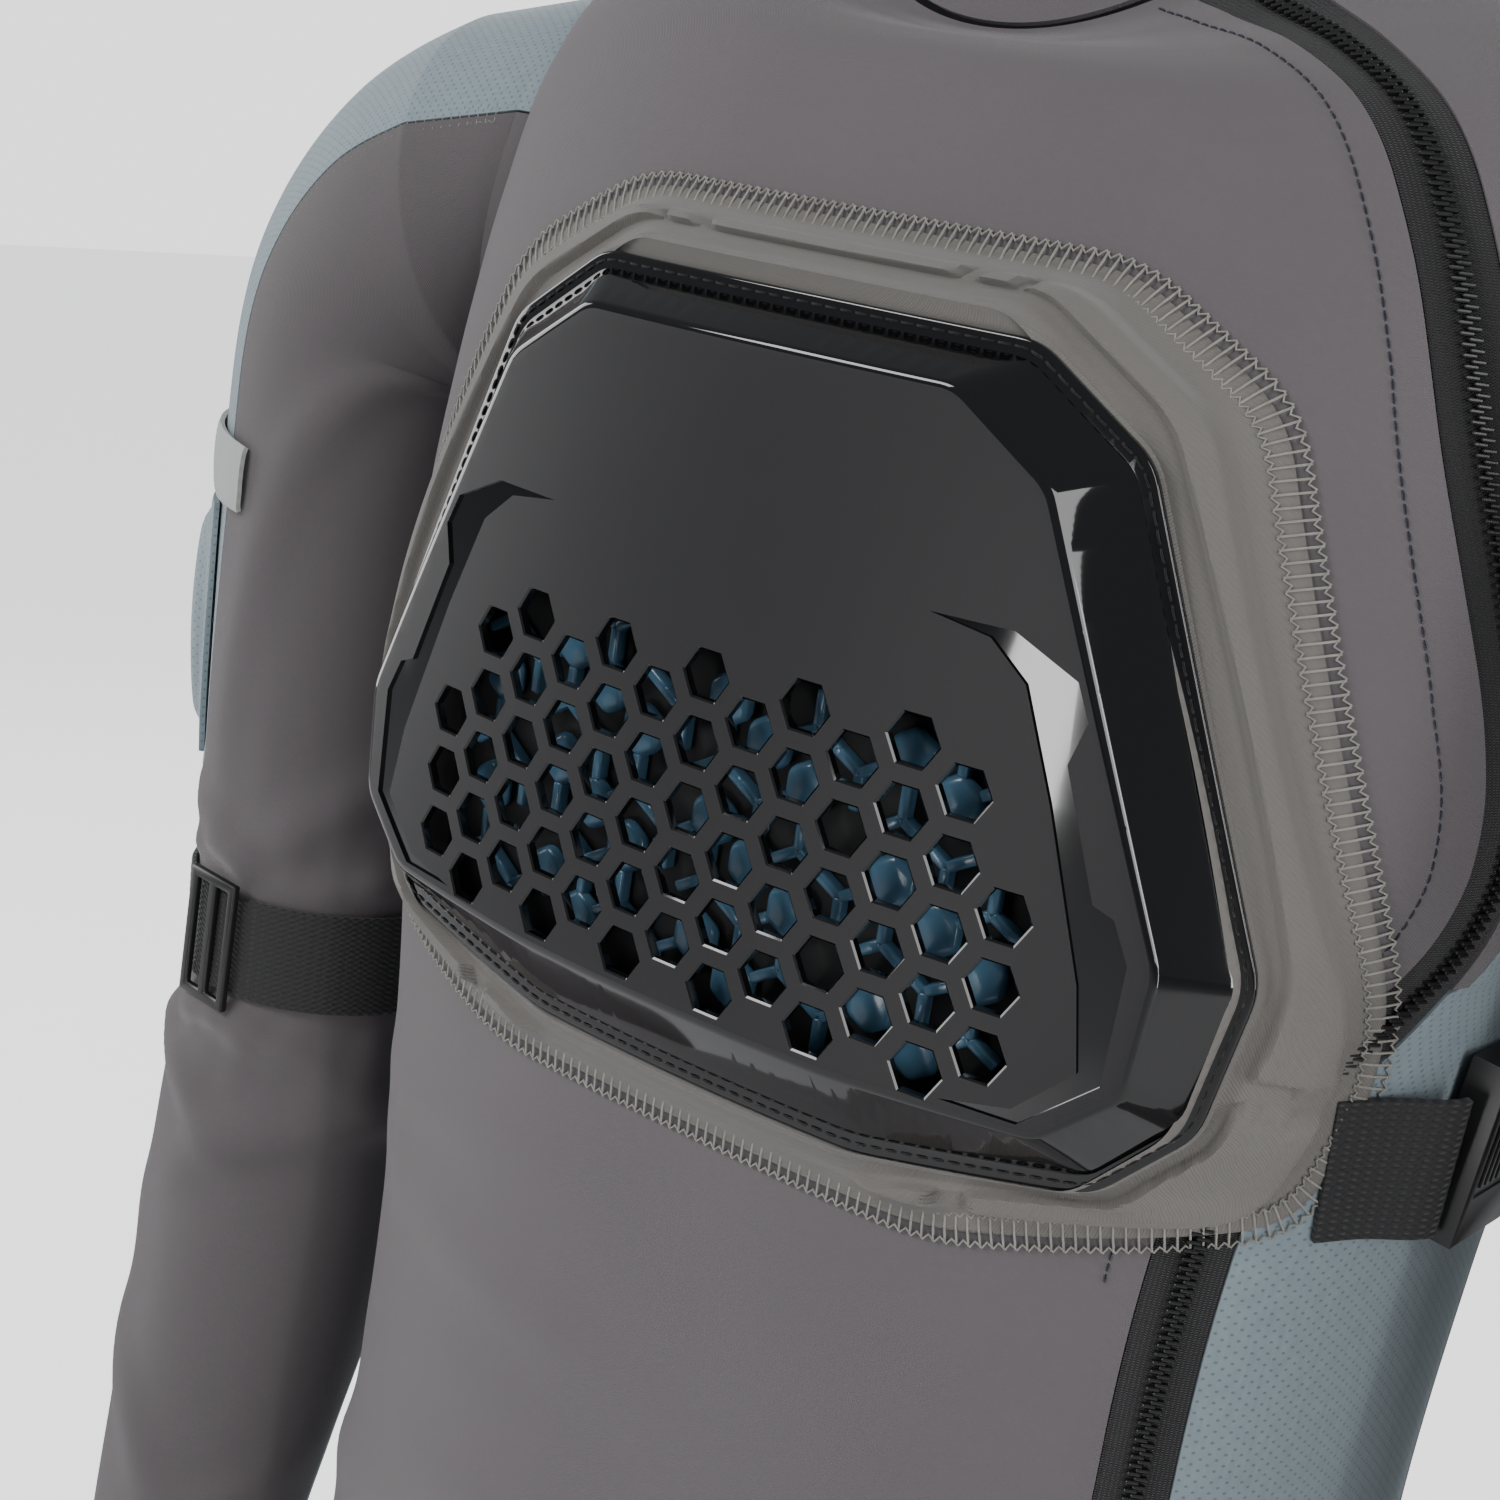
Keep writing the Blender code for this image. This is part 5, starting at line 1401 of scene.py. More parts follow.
# %% Pad: front, sewn edge and back
plate_edge = outset(RIM_RING, 0.0009)
low_ring = armour_point(plate_edge[:, 0], plate_edge[:, 1], PLATE_DEPTH)
high_ring = pad_edge(PAD_RING, CLOTH + PAD_HEM)
span = np.linalg.norm(high_ring - low_ring, axis=1)
flat_low = np.stack([plate_edge[:, 0], plate_edge[:, 1]], axis=1)
PAD_ROWS = 56
pad_rings = [
    armour_point(plate_edge[:, 0] * 0.5, plate_edge[:, 1] * 0.5, PAD_FACE),
    armour_point(*outset(RIM_RING, -0.004).T, PAD_FACE),
    armour_point(*plate_edge.T, PAD_FACE),
]
for index in range(PAD_ROWS + 1):
    share = index / PAD_ROWS
    line = low_ring + (high_ring - low_ring) * share
    under = body_under(line)
    normal = under[:, 5:8]
    gone = share * span
    left_over = span - gone
    flat = flat_low + (PAD_RING - flat_low) * share
    band = soft_step(gone, PAD_MARGIN - 0.0008, 0.0020) * soft_step(left_over, PAD_SEWN, 0.0032)
    band_width = np.maximum(span - PAD_MARGIN - PAD_SEWN, 0.004)
    crown = 1 + PAD_CROWN * np.sin(np.clip((gone - PAD_MARGIN) / band_width, 0, 1) * math.pi)
    sink = -0.0010 * soft_step(gone, 0.0012, 0.003) * (1 - soft_step(gone, PAD_MARGIN - 0.003, 0.003))
    height = PAD_BAND * band * crown * (0.12 + 0.88 * channel_share(flat)) + sink
    at = np.einsum("ij,ij->i", line - under[:, 2:5], normal)
    least = np.maximum(at + height, CLOTH + PAD_HEM)
    settle = soft_step(left_over, -0.001, PAD_SEWN + 0.002)
    top = (CLOTH + PAD_HEM) * (1 - settle) + least * settle
    pad_rings.append(under[:, 2:5] + normal * top[:, None])
outer_edge = PAD_RING + 0.0006 * unit(PAD_RING)
pad_rings.append(pad_edge(outer_edge, CLOTH + 0.5 * PAD_HEM))
pad_rings.append(pad_edge(PAD_RING, CLOTH + GAP))
for ring in (pad_rings[-12], pad_rings[-26], pad_rings[2], pad_rings[1], pad_rings[0]):
    under = body_under(ring)
    height = np.einsum("ij,ij->i", ring - under[:, 2:5], under[:, 5:8])
    low = np.minimum(CLOTH + GAP + 0.001, height - PAD_LEAST)
    pad_rings.append(under[:, 2:5] + under[:, 5:8] * low[:, None])
pad = ring_piece("chest_pad_foam", pad_rings)
smooth(pad, 50)
finish_piece(pad, PAD_TWILL, "chest_pad", slot="pad")
print("chest pad:", len(pad.data.polygons), "faces, channels by", ", ".join(CHANNEL_COLUMNS))

# %% [markdown]
# Stitches are real threads. A flatlock seam is a ladder: rungs across the join and a chain along each
# side. Each thread is a curve with a round section, turned into a mesh at the end. One function lays a
# ladder between two rails, another lays single dashes along a line.

# %% Stitches


def at_pitch(points, pitch, closed=False):
    """Places along a line at an even pitch, as shares of its points' numbers."""
    if closed:
        points = np.concatenate([points, points[:1]])
    run = np.concatenate([[0], np.cumsum(np.linalg.norm(np.diff(points, axis=0), axis=1))])
    count = max(2, int(run[-1] / pitch))
    return points, run, np.linspace(0, run[-1], count + 1)


def along_line(points, run, distances):
    return np.stack([np.interp(distances, run, points[:, k]) for k in range(3)], axis=1)


def thread_piece(name, lines, radius, finish, slot_name, sides=1):
    """Mesh of round threads along many short lines."""
    curve = bpy.data.curves.new(name, "CURVE")
    curve.dimensions = "3D"
    curve.bevel_depth = radius
    curve.bevel_resolution = sides
    curve.use_fill_caps = True
    for line in lines:
        spline = curve.splines.new("POLY")
        spline.points.add(len(line) - 1)
        spline.points.foreach_set("co", np.concatenate([line, np.ones((len(line), 1))], axis=1).reshape(-1))
    piece = bpy.data.objects.new(name, curve)
    bpy.context.scene.collection.objects.link(piece)
    activate(piece)
    bpy.ops.object.convert(target="MESH")
    weld(piece, 1e-7)
    smooth(piece, 60)
    finish_piece(piece, finish, slot=slot_name)
    print(f"{name}: {len(lines)} threads, {len(piece.data.polygons)} faces")
    return piece


def ladder(inner, outer, pitch, rise, closed=False):
    """Threads of a flatlock seam between two rails: rungs, and a chain along each rail."""
    middle = (inner + outer) / 2
    _, run, places = at_pitch(middle, pitch, closed)
    ends = []
    for rail in (inner, outer):
        rail = np.concatenate([rail, rail[:1]]) if closed else rail
        ends.append((rail, along_line(rail, run, places)))
    (inner_rail, low), (outer_rail, high) = ends
    tangent = unit(np.gradient(along_line((inner_rail + outer_rail) / 2, run, places), axis=0))
    across = unit(high - low)
    up = unit(np.cross(tangent, across)) * rise
    lines = []
    for index in range(len(places)):
        lean = tangent[index] * pitch * 0.18
        crest = (low[index] + high[index]) / 2 + up[index] * 1.6
        foot_lift = up[index] * 0.6
        lines.append(np.array([low[index] + foot_lift - lean, crest, high[index] + foot_lift + lean]))
    for rail, points, inward in ((inner_rail, low, 1), (outer_rail, high, -1)):
        between = along_line(rail, run, (places[:-1] + places[1:]) / 2)
        width = np.linalg.norm(high - low, axis=1).mean()
        chain = []
        for index in range(len(places) - 1):
            chain.append(points[index] + up[index] * 1.5)
            chain.append(between[index] + across[index] * inward * width * 0.16 + up[index] * 1.1)
        chain.append(points[-1] + up[-1] * 1.5)
        lines.append(np.array(chain))
    return lines


def dashes(points, normals, pitch, cover, rise, closed=False):
    """Single-needle stitches: short bowed threads along a line."""
    closed_normals = np.concatenate([normals, normals[:1]]) if closed else normals
    points, run, places = at_pitch(points, pitch, closed)
    lines = []
    for start in places[:-1]:
        cuts = start + np.array([0, 0.15, 0.5, 0.85, 1]) * pitch * cover
        spots = along_line(points, run, cuts)
        lift = np.interp(cuts, run, np.arange(len(run)))
        picked = closed_normals[np.clip(np.round(lift).astype(int), 0, len(closed_normals) - 1)]
        lines.append(spots + picked * (np.array([-0.3, 0.8, 1, 0.8, -0.3]) * rise)[:, None])
    return lines


# %% Pad and plate seams
LADDER_HALF = 0.0042
inner_ring = outset(PAD_RING, -LADDER_HALF - 0.001)
outer_ring = outset(PAD_RING, LADDER_HALF)
pad_ladder = ladder(pad_edge(inner_ring, CLOTH + PAD_HEM + 0.0002), pad_edge(outer_ring, CLOTH + 0.0003),
                    0.0030, 0.00035, closed=True)
thread_piece("pad_seam_threads", pad_ladder, 0.00030, THREAD_LIGHT, "light")

stitch_ring = outset(RIM_RING, -0.0022)
stitch_places = armour_point(*stitch_ring.T, PLATE_DEPTH)
stitch_normals = unit(armour_point(*stitch_ring.T, PLATE_DEPTH - 0.01) - stitch_places)
plate_dashes = dashes(stitch_places, stitch_normals, 0.0042, 0.72, 0.00035, closed=True)
thread_piece("plate_seam_threads", plate_dashes, 0.00030, THREAD_BLACK, "black_plate")

# %% Seams of the trunk and sleeves


def trunk_rails(rows, turn_of, half, off=CLOTH):
    """Two rails beside a seam of the trunk."""
    rails = []
    for side in (-1, 1):
        rails.append(np.array([on_body(turn_of(r) + side * half / arc_size(r), r, off)[0] for r in rows]))
    return rails


def sleeve_rails(side, stations, angle_of, half):
    rails = []
    for way in (-1, 1):
        angle = math.degrees(half / ARM_RADIUS) * way
        rail = []
        for station in stations:
            seam = angle_of(station)
            off = CLOTH + 0.25 * sleeve_lift(side, np.array([seam]), station)
            rail.append(on_sleeve(side, [seam + angle], station, off)[0])
        rails.append(np.array(rail))
    return rails


def clear_of_armhole(rails):
    """The longest stretch of two rails that lies outside the armholes."""
    middle = (rails[0] + rails[1]) / 2
    along = (middle[:, 1] - ARMHOLE[1]) / ARMHOLE_HALF_DEPTH
    oval = np.hypot(along, (middle[:, 2] - ARMHOLE[2]) / ARMHOLE_HALF_HEIGHT)
    keep = oval > 1.06
    stop = int(np.argmin(keep)) if not keep.all() else len(keep)
    return [rail[:stop] for rail in rails]


body_rows = np.linspace(0.15, 7.5, 220)
seam_lines = []
for turn_of in (lambda r: -side_seam(r, True), lambda r: -side_seam(r, False), lambda r: side_seam(r, False)):
    rails = clear_of_armhole(trunk_rails(body_rows, turn_of, 0.0028))
    seam_lines += ladder(rails[0], rails[1], 0.0030, 0.00028)
thread_piece("side_seam_threads", seam_lines, 0.00024, THREAD_GREY, "light")

for side, tail in SIDES.items():
    lines = []
    cap_stations = np.linspace(1.3, CAP_END - 0.35, 60)
    strip_stations = np.linspace(CAP_END + 0.15, STRAP_STATION - STRAP_HALF - 0.04, 60)
    lower_stations = np.linspace(STRAP_STATION + STRAP_HALF + 0.04, CUFF - 0.05, 100)
    long_stations = np.linspace(1.3, STRAP_STATION - STRAP_HALF - 0.04, 130)
    for stations in (cap_stations, strip_stations, lower_stations):
        for angle_of in (strip_front, lambda s: STRIP_BACK):
            rails = sleeve_rails(side, stations, angle_of, 0.0024)
            lines += ladder(*(rails if side < 0 else rails[::-1]), 0.0030, 0.00028)
    for stations in (long_stations, lower_stations):
        for angle_of in (lambda s: UNDER_BACK, lambda s: UNDER_FRONT):
            rails = sleeve_rails(side, stations, angle_of, 0.0024)
            lines += ladder(*(rails if side < 0 else rails[::-1]), 0.0032, 0.00028)
    thread_piece("sleeve_seam_threads" + tail, lines, 0.00024, THREAD_GREY, "light")

# %% Topstitch beside the zipper
top_rows = np.linspace(4.2, 12.8, 420)


# Distance of the topstitch from the cloth's edge, in metres, at rows of the body
TOPSTITCH = np.array([
    (4.2, 0.0085), (5.3, 0.0105), (6.5, 0.0125), (8.0, 0.0085), (12.8, 0.0070),
])


def topstitch_turn(row):
    return zipper_edge(row, -1) - np.interp(row, TOPSTITCH[:, 0], TOPSTITCH[:, 1]) / arc_size(row)


line = np.array([on_body(topstitch_turn(r), r, CLOTH)[0] for r in top_rows])
normals = np.array([body_normals([topstitch_turn(r)], r)[0] for r in top_rows])
thread_piece("zipper_topstitch", dashes(line, normals, 0.0030, 0.7, 0.00035), 0.00026, THREAD_NAVY, "twill")

# %% [markdown]
# The zipper is a woven tape with two rows of small moulded teeth and a slider at the neck. The tape lies
# between the panels, and one tooth is a bevelled block that is copied along the line.

# %% Zipper
TAPE_WALL = 0.0014
TEETH_WIDTH = 0.0055
TEETH_HEIGHT = 0.0022
TEETH_LIFT = TAPE_WALL + 2 * GAP
TOOTH_PITCH = 0.0024
tape_points = []
for row in panel_rows(0, COLLAR_ROW):
    half = ZIPPER_WIDTH / 2 / arc_size(row)
    tape_points.append(on_body(zipper_turn(row) + half * np.linspace(-1, 1, 7), row, np.zeros(7)))
tape = grid_piece("zipper_tape_cloth", np.array(tape_points))
apply_modifier(tape, "SOLIDIFY", thickness=TAPE_WALL, offset=1.0)
smooth(tape)
finish_piece(tape, TAPE_BLACK, "zipper_tape", slot="webbing")


def frame_at(origin, right, up):
    """Matrix with x along right, y along up and z outwards, from numpy vectors."""
    right = unit(right)
    out = unit(np.cross(right, up))
    up = np.cross(out, right)
    made = Matrix(((right[0], up[0], out[0], origin[0]), (right[1], up[1], out[1], origin[1]),
                   (right[2], up[2], out[2], origin[2]), (0, 0, 0, 1)))
    return made


def block(size, bevel, segments=2):
    """Bevelled block at the origin, as a mesh to copy."""
    bpy.ops.object.select_all(action="DESELECT")
    bpy.ops.mesh.primitive_cube_add(size=1, scale=size)
    piece = bpy.context.object
    bpy.ops.object.transform_apply(location=True, rotation=True, scale=True)
    if bevel:
        apply_modifier(piece, "BEVEL", width=bevel, segments=segments)
    return piece


def stamped(source, name, frames):
    """One object from copies of a piece, each at its own matrix."""
    joined = bmesh.new()
    for matrix in frames:
        part = source.data.copy()
        part.transform(matrix)
        joined.from_mesh(part)
        bpy.data.meshes.remove(part)
    bpy.data.objects.remove(source, do_unlink=True)
    mesh = bpy.data.meshes.new(name)
    joined.to_mesh(mesh)
    joined.free()
    piece = bpy.data.objects.new(name, mesh)
    bpy.context.scene.collection.objects.link(piece)
    return piece


fine_rows = np.linspace(0.02, NECK_ROW + 1, 1500)
centre_line = np.array([on_body(zipper_turn(r), r, TEETH_LIFT)[0] for r in fine_rows])
side_line = np.array([on_body(zipper_turn(r) + 0.01, r, TEETH_LIFT)[0] for r in fine_rows])
_, run, places = at_pitch(centre_line, TOOTH_PITCH / 2)
spots = along_line(centre_line, run, places)
rights = along_line(side_line, run, places) - spots
ups = np.gradient(spots, axis=0)
tooth = block((TEETH_WIDTH * 0.62, TOOTH_PITCH * 0.42, TEETH_HEIGHT * 0.8), 0.0003, 1)
frames = []
for index, (spot, right, up) in enumerate(zip(spots, rights, ups)):
    way = 1 if index % 2 else -1
    matrix = frame_at(spot, right, up)
    frames.append(matrix @ Matrix.Translation((way * TEETH_WIDTH * 0.17, 0, TEETH_HEIGHT * 0.4)))
teeth = stamped(tooth, "zipper_teeth_rows", frames)
smooth(teeth)
finish_piece(teeth, HARD_BLACK, "zipper_teeth", slot="plastic")
print("zipper teeth:", len(frames))

# %% Zipper pull: slider body and a ribbed tab
PULL_ROW = NECK_ROW + 0.66
PULL_LENGTH = 0.010
pull_turn = zipper_turn(PULL_ROW)
pull_right = on_body(pull_turn + 0.02, PULL_ROW, 0)[0] - on_body(pull_turn, PULL_ROW, 0)[0]
pull_up = on_body(pull_turn, PULL_ROW + 0.35, 0)[0] - on_body(pull_turn, PULL_ROW - 0.35, 0)[0]
pull_frame = frame_at(on_body(pull_turn, PULL_ROW, TEETH_LIFT + TEETH_HEIGHT)[0], pull_right, pull_up)
shapes = [((0.0068, PULL_LENGTH, 0.0010), (0, 0, 0.0009)), ((0.0034, 0.0060, 0.0012), (0, 0.0008, 0.0019)),
          ((0.0046, 0.0100, 0.0009), (0, -0.0006, 0.0026))]
shapes += [((0.0040, 0.0006, 0.0005), (0, -0.0040 + 0.0013 * k, 0.0032)) for k in range(4)]
parts = []
for size, place in shapes:
    part = block(size, 0.22 * min(size))
    part.data.transform(pull_frame @ Matrix.Translation(place))
    parts.append(part)
activate(parts[0])
for part in parts:
    part.select_set(True)
bpy.ops.object.join()
pull = parts[0]
pull.name = "zipper_pull_slider"
smooth(pull)
finish_piece(pull, HARD_BLACK, "zipper_pull", slot="plastic")

# %% [markdown]
# On each sleeve lie a turned light hem at the end of the shoulder cap, a low oval pad on the outside of
# the upper arm, and an elastic strap with a plastic slider that sets its length.

# %% Cap hem, arm pad and elbow strap
STRAP_WALL = 0.0018
ELBOW_STRAP_WIDTH = 0.038
TRIM_OFF = CLOTH + TRIM_AIR
ARM_PAD_EDGE = 0.0018
ARM_PAD_CROWN = 0.008
ARM_PAD_FRONT = 8      # degrees past the strip's front seam
ARM_PAD_BACK = 104
HEM_FRONT = 14
HEM_BACK = 6
STRAP_SPAN = ELBOW_STRAP_WIDTH / 2 / (ARM_LENGTH * 0.08)


def cap_hem(side, tail):
    """Light band folded under the edge of the cap, with a pointed front end."""
    stations = np.linspace(CAP_END - 0.30, CAP_END + 0.12, 15)
    points = []
    for index, station in enumerate(stations):
        share = index / (len(stations) - 1)
        angles = np.linspace(strip_front(station) - HEM_FRONT, STRIP_BACK + HEM_BACK, 61)
        swell = 0.0011 * math.sin(math.pi * share) ** 0.5
        wave = 0.0004 * np.sin(np.radians(angles) * 6) * share
        points.append(on_sleeve(side, angles, station, TRIM_OFF + swell + wave))
    points = np.array(points)
    piece = grid_piece("cap_hem_band" + tail, points[:, ::-1] if side > 0 else points)
    cloth(piece, wall=CLOTH * 0.8)
    return finish_piece(piece, LIGHT_BAND, "cap_hem" + tail, slot="light")


def arm_pad(side, tail):
    """Oval pad with a sewn rim: closed from an outer and an inner sheet of points."""
    stations = np.linspace(CAP_END + 0.18, STRAP_STATION - 1.35, 49)
    columns = 48
    outer, inner = [], []
    for index, station in enumerate(stations):
        down = index / (len(stations) - 1)
        angles = np.linspace(strip_front(station) + ARM_PAD_FRONT, ARM_PAD_BACK, columns + 1)
        across = np.linspace(0, 1, columns + 1)
        edge = np.minimum(math.sin(math.pi * down), 1) * np.sin(np.pi * across)
        crown = np.sqrt(np.maximum(edge, 0))
        step = soft_step(edge, 0.10, 0.16)
        height = ARM_PAD_EDGE + ARM_PAD_CROWN * crown * (0.25 + 0.75 * step)
        outer.append(on_sleeve(side, angles, station, TRIM_OFF + height))
        inner.append(on_sleeve(side, angles, station, TRIM_OFF))
    outer, inner = np.array(outer), np.array(inner)
    ring = np.concatenate([outer, inner[:, ::-1], outer[:, :1]], axis=1)
    piece = grid_piece("arm_pad_foam" + tail, ring, closed=True)
    activate(piece)
    bpy.ops.object.mode_set(mode="EDIT")
    bpy.ops.mesh.select_all(action="SELECT")
    bpy.ops.mesh.fill_holes(sides=0)
    bpy.ops.object.mode_set(mode="OBJECT")
    face_outwards(piece)
    smooth(piece, 50)
    finish_piece(piece, HEATHER, "arm_pad" + tail, slot="mesh")
    return piece


def elbow_strap(side, tail):
    """Closed elastic band with rounded edges and ribs across it."""
    profile = []
    for station, lift in ((-1, 0.15), (-0.97, 0.0), (0.97, 0.0), (1, 0.15), (1, 0.85), (0.97, 1.0)):
        profile.append((station, lift))
    profile += [(p, 1.0 + 0.06 * (k % 2)) for k, p in enumerate(np.linspace(0.9, -0.9, 25))]
    profile += [(-0.97, 1.0), (-1, 0.85)]
    angles = np.linspace(0, 360, 181)
    rows = []
    for place, lift in profile:
        rows.append(on_sleeve(side, angles, STRAP_STATION + place * STRAP_SPAN, TRIM_OFF + STRAP_WALL * lift))
    rows.append(rows[0])
    points = np.array(rows)
    piece = grid_piece("elbow_strap_band" + tail, points, closed=True)
    face_outwards(piece)
    smooth(piece, 50)
    return finish_piece(piece, STRAP_BLACK, "elbow_strap" + tail, slot="webbing")


for side, tail in SIDES.items():
    cap_hem(side, tail)
    arm_pad(side, tail)
    elbow_strap(side, tail)
print("sleeve trim done")

# %% Strap slider
SLIDER_WIDTH = 0.025
SLIDER_HEIGHT = 0.044
SLIDER_WIRE = 0.0035
SLIDER_ANGLE = 6


def strap_slider(side, tail):
    """Rectangular ring with a middle bar, its edges rounded like a moulding."""
    off = TRIM_OFF + STRAP_WALL + GAP
    middle = on_sleeve(side, [SLIDER_ANGLE], STRAP_STATION, off)[0]
    lower = on_sleeve(side, [SLIDER_ANGLE], STRAP_STATION + 0.1, off)[0]
    upper = on_sleeve(side, [SLIDER_ANGLE], STRAP_STATION - 0.1, off)[0]
    beside = on_sleeve(side, [SLIDER_ANGLE + 1], STRAP_STATION, off)[0]
    up = upper - lower
    right = middle - beside
    matrix = frame_at(middle, right, up)
    outward = matrix.to_3x3() @ Vector((0, 0, 1))
    lifted = on_sleeve(side, [SLIDER_ANGLE], STRAP_STATION, off + 0.01)[0] - middle
    if outward.dot(Vector(lifted)) < 0:
        matrix = frame_at(middle, -right, up)
    thick = SLIDER_WIRE * 0.8
    ring = block((SLIDER_WIDTH, SLIDER_HEIGHT, thick), 0)
    window = (SLIDER_WIDTH - 3 * SLIDER_WIRE) / 2
    for way in (-1, 1):
        hole = block((window, SLIDER_HEIGHT - 2 * SLIDER_WIRE, 3 * thick), 0)
        hole.data.transform(Matrix.Translation((way * (window + SLIDER_WIRE) / 2, 0, 0)))
        cut_away(ring, hole)
    apply_modifier(ring, "BEVEL", width=SLIDER_WIRE * 0.26, segments=4, limit_method="ANGLE")
    ring.name = "strap_slider_ring" + tail
    ring.data.transform(matrix @ Matrix.Translation((0, 0, thick / 2 - GAP)))
    smooth(ring)
    return finish_piece(ring, HARD_BLACK, "strap_slider" + tail, slot="plastic")


for side, tail in SIDES.items():
    strap_slider(side, tail)

# %% [markdown]
# A webbing strap runs from the pad's lower corner through a side-release buckle to the back. The strap
# is a ribbed band that rises into the buckle at both ends.

# %% Waist strap
WAIST_STRAP_WIDTH = 0.038
WAIST_TURN = 0.930
WAIST_ROW = 4.720
WAIST_RISE = -0.30
STRAP_FRONT_TURN = 0.697
STRAP_BACK_TURN = 1.62
SOCKET_LENGTH = 0.030
TONGUE_LENGTH = 0.016
BUCKLE_DEPTH = 0.010
BUCKLE_SEAT = 0.0012
BUCKLE_LIFT = 0.0075
SOCKET_HEIGHT = 1.26
CURVE_ALLOWANCE = 1.06
buckle_reach = CURVE_ALLOWANCE * (SOCKET_LENGTH + TONGUE_LENGTH + 3 * GAP) / 2 / arc_size(WAIST_ROW)


def waist_strap(name, start, end, lifted_end, node):
    """Band on the body from one turn to another, with fine ribs along it."""
    count = int(abs(end - start) * TURN_LENGTH / 0.0025)
    turns = np.linspace(start, end, count + 1)
    rise = np.abs(turns - lifted_end) * TURN_LENGTH
    lift = BUCKLE_LIFT * np.exp(-(rise / 0.011) ** 2)
    middle, outward = [], []
    for turn, up in zip(turns, lift):
        row = WAIST_ROW + WAIST_RISE * (WAIST_TURN - turn)
        middle.append(on_body(turn, row, CLOTH + GAP + up)[0])
        outward.append(body_normals([turn], row)[0])
    middle, outward = np.array(middle), np.array(outward)
    along = unit(np.gradient(middle, axis=0))
    across = unit(np.cross(outward, along))
    shares = np.linspace(-0.5, 0.5, 33)
    points = []
    for share in shares:
        rib = 0.00012 * (1 + math.cos(share * math.tau * 10)) / 2
        points.append(middle + across * share * WAIST_STRAP_WIDTH + outward * rib)
    piece = grid_piece(name, np.array(points))
    apply_modifier(piece, "SOLIDIFY", thickness=STRAP_WALL, offset=1.0)
    smooth(piece)
    return finish_piece(piece, STRAP_BLACK, node, slot="webbing")


near_end = WAIST_TURN - buckle_reach
far_end = WAIST_TURN + buckle_reach
waist_strap("waist_strap_short", STRAP_FRONT_TURN, near_end, near_end, "waist_strap_front")
waist_strap("waist_strap_long", far_end, STRAP_BACK_TURN, far_end, "waist_strap_rear")

# %% Buckle: socket with side windows and ribs, tongue with grips
row = WAIST_ROW
buckle_frame = frame_at(
    on_body(WAIST_TURN, row, CLOTH + BUCKLE_SEAT + BUCKLE_DEPTH / 2)[0],
    on_body(WAIST_TURN + 0.02, row, 0)[0] - on_body(WAIST_TURN - 0.02, row, 0)[0],
    on_body(WAIST_TURN, row + 0.1, 0)[0] - on_body(WAIST_TURN, row - 0.1, 0)[0])
HIGH = WAIST_STRAP_WIDTH * SOCKET_HEIGHT


def buckle_part(name, node, centre, size, extras, cuts, bevel):
    """Bevelled body with raised details joined to it and slots cut out of it."""
    body = block(size, 0)
    for cut_size, place in cuts:
        hole = block(cut_size, 0)
        hole.data.transform(Matrix.Translation(place))
        cut_away(body, hole)
    apply_modifier(body, "BEVEL", width=bevel, segments=3, limit_method="ANGLE")
    parts = [body]
    for extra_size, place in extras:
        part = block(extra_size, 0.25 * min(extra_size))
        part.data.transform(Matrix.Translation(place))
        parts.append(part)
    activate(body)
    for part in parts:
        part.select_set(True)
    bpy.ops.object.join()
    body.name = name
    body.data.transform(buckle_frame @ Matrix.Translation(centre))
    smooth(body)
    return finish_piece(body, HARD_BLACK, node, slot="plastic")


socket_cuts = [((0.016, 0.009, 0.0040), (0.004, way * (HIGH / 2 - 0.0022), 0)) for way in (-1, 1)]
socket_cuts.append(((0.020, 0.022, 0.0010), (-0.001, 0, BUCKLE_DEPTH / 2)))
socket_cuts.append(((0.004, 0.040, 0.0045), (-0.0125, 0, 0)))
rib_level = BUCKLE_DEPTH / 2 - 0.0004
socket_ribs = [((0.0012, 0.018, 0.0010), (-0.008 + 0.0032 * k, 0, rib_level)) for k in range(5)]
tongue_cuts = [((0.0045, 0.040, 0.0040), (0.003, 0, 0))]
tongue_ribs = [((0.0010, 0.034, 0.0008), (-0.004 + 0.0026 * k, 0, BUCKLE_DEPTH * 0.4)) for k in range(3)]
tongue_ribs += [((0.009, 0.0075, 0.0030), (-0.0095, way * (HIGH / 2 - 0.006), 0)) for way in (-1, 1)]
buckle_part("buckle_socket_shell", "buckle_socket", (-(TONGUE_LENGTH + GAP) / 2, 0, 0),
            (SOCKET_LENGTH, HIGH, BUCKLE_DEPTH), socket_ribs, socket_cuts, 0.0011)
buckle_part("buckle_tongue_shell", "buckle_tongue", ((SOCKET_LENGTH + GAP) / 2, 0, 0),
            (TONGUE_LENGTH, HIGH, BUCKLE_DEPTH * 0.8), tongue_ribs, tongue_cuts, 0.0010)
print("buckle made")

# %% [markdown]
# A pale floor and soft boxes light the shirt as in a studio. Gloss needs something to reflect, so tall
# strips stand beside the camera, and the rest of the room is dim.

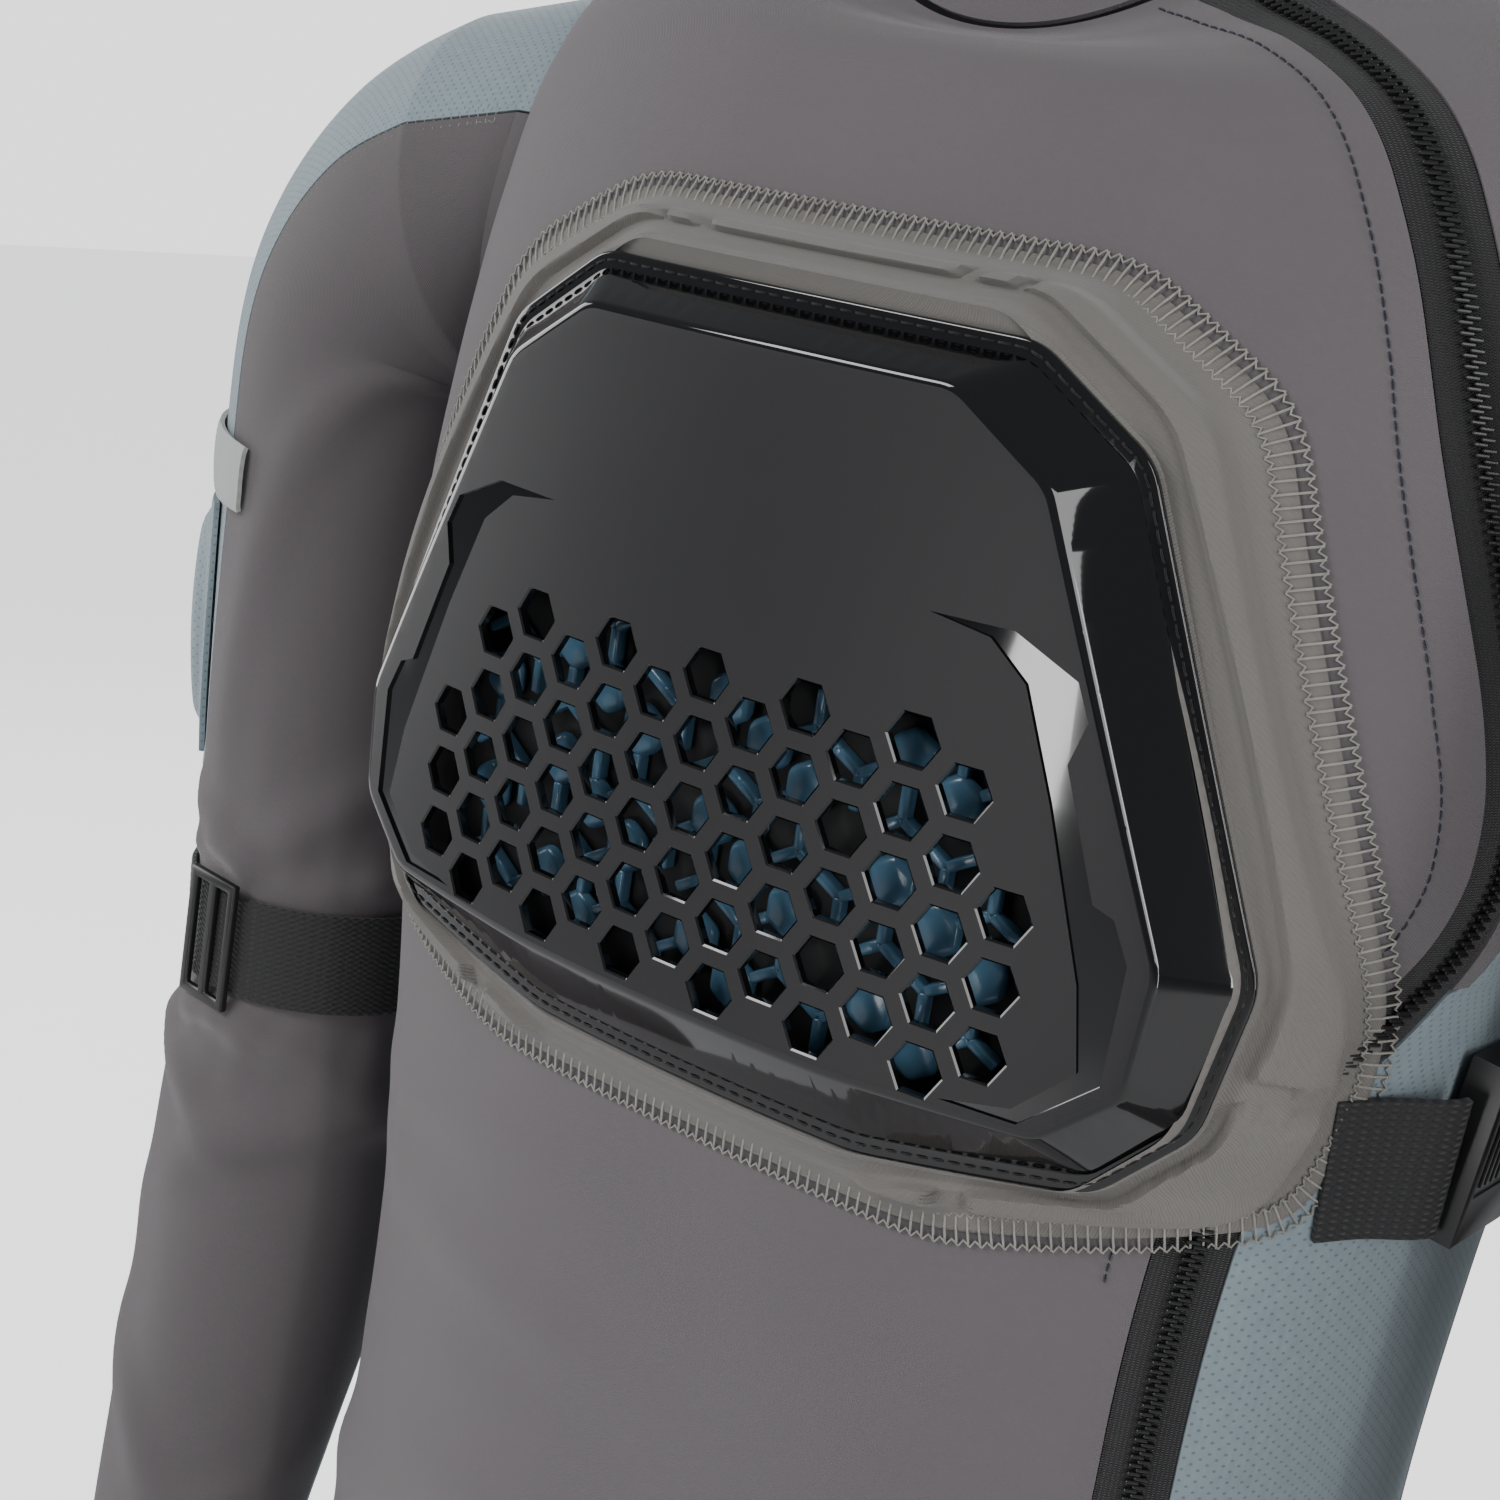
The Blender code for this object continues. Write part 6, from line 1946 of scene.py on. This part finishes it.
# %% Floor and lights
FLOOR_DROP = 0.30
bpy.ops.object.select_all(action="DESELECT")
bpy.ops.mesh.primitive_plane_add(size=14, location=(0, 0, -LENGTH - FLOOR_DROP))
floor = bpy.context.object
floor.name = "studio_floor"
floor_finish, floor_wires, floor_shader = new_material("floor_pale", (0.60, 0.60, 0.61), 0.9,
                                                       Emission_Color=(1, 1, 1, 1))
floor_seen = floor_wires.node("ShaderNodeLightPath").outputs["Is Camera Ray"]
floor_wires.join(floor_wires.math("MULTIPLY", floor_seen, 1.4), floor_shader.inputs["Emission Strength"])
floor.data.materials.append(floor_finish)

# Lights: name, place, target, width, height, watts
LIGHTS = (
    ("key_box", (-1.1, -1.9, 1.3), (0, 0, -0.2), 1.3, 1.0, 42),
    ("fill_box", (1.9, -1.3, 0.5), (0, 0, -0.25), 0.9, 1.6, 22),
    ("front_strip", (-0.28, -2.05, -0.66), (0.09, -0.12, -0.19), 0.20, 0.55, 5),
    ("bevel_strip", (2.0, -1.1, -0.2), (0.1, -0.1, -0.2), 0.12, 1.5, 6),
    ("side_strip", (2.1, 0.1, 0.1), (0.1, 0, -0.2), 0.25, 1.4, 14),
    ("back_box", (-1.2, 1.8, 0.9), (0, 0, -0.2), 1.2, 1.2, 30),
    ("left_wash", (-2.2, -0.4, 0.0), (-0.2, 0, -0.3), 1.2, 1.6, 26),
)
for name, place, target, width, height, watts in LIGHTS:
    bpy.ops.object.light_add(type="AREA", location=place)
    lamp = bpy.context.object
    lamp.name = name
    lamp.data.shape = "RECTANGLE"
    lamp.data.size = width
    lamp.data.size_y = height
    lamp.data.energy = watts
    lamp.rotation_euler = (Vector(target) - Vector(place)).to_track_quat("-Z", "Y").to_euler()

world = bpy.data.worlds.new("studio_room")
bpy.context.scene.world = world
world.use_nodes = True
room = Wiring(world.node_tree)
world.node_tree.nodes.clear()
seen = room.node("ShaderNodeBackground")
seen.inputs["Color"].default_value = (0.97, 0.97, 0.975, 1)
seen.inputs["Strength"].default_value = 1.9
lit = room.node("ShaderNodeBackground")
lit.inputs["Color"].default_value = (0.75, 0.78, 0.82, 1)
lit.inputs["Strength"].default_value = 0.25
pick = room.node("ShaderNodeMixShader")
room.join(room.node("ShaderNodeLightPath").outputs["Is Camera Ray"], pick.inputs[0])
room.join(lit.outputs[0], pick.inputs[1])
room.join(seen.outputs[0], pick.inputs[2])
room.join(pick.outputs[0], room.node("ShaderNodeOutputWorld").inputs[0])
print("lights:", len(LIGHTS))
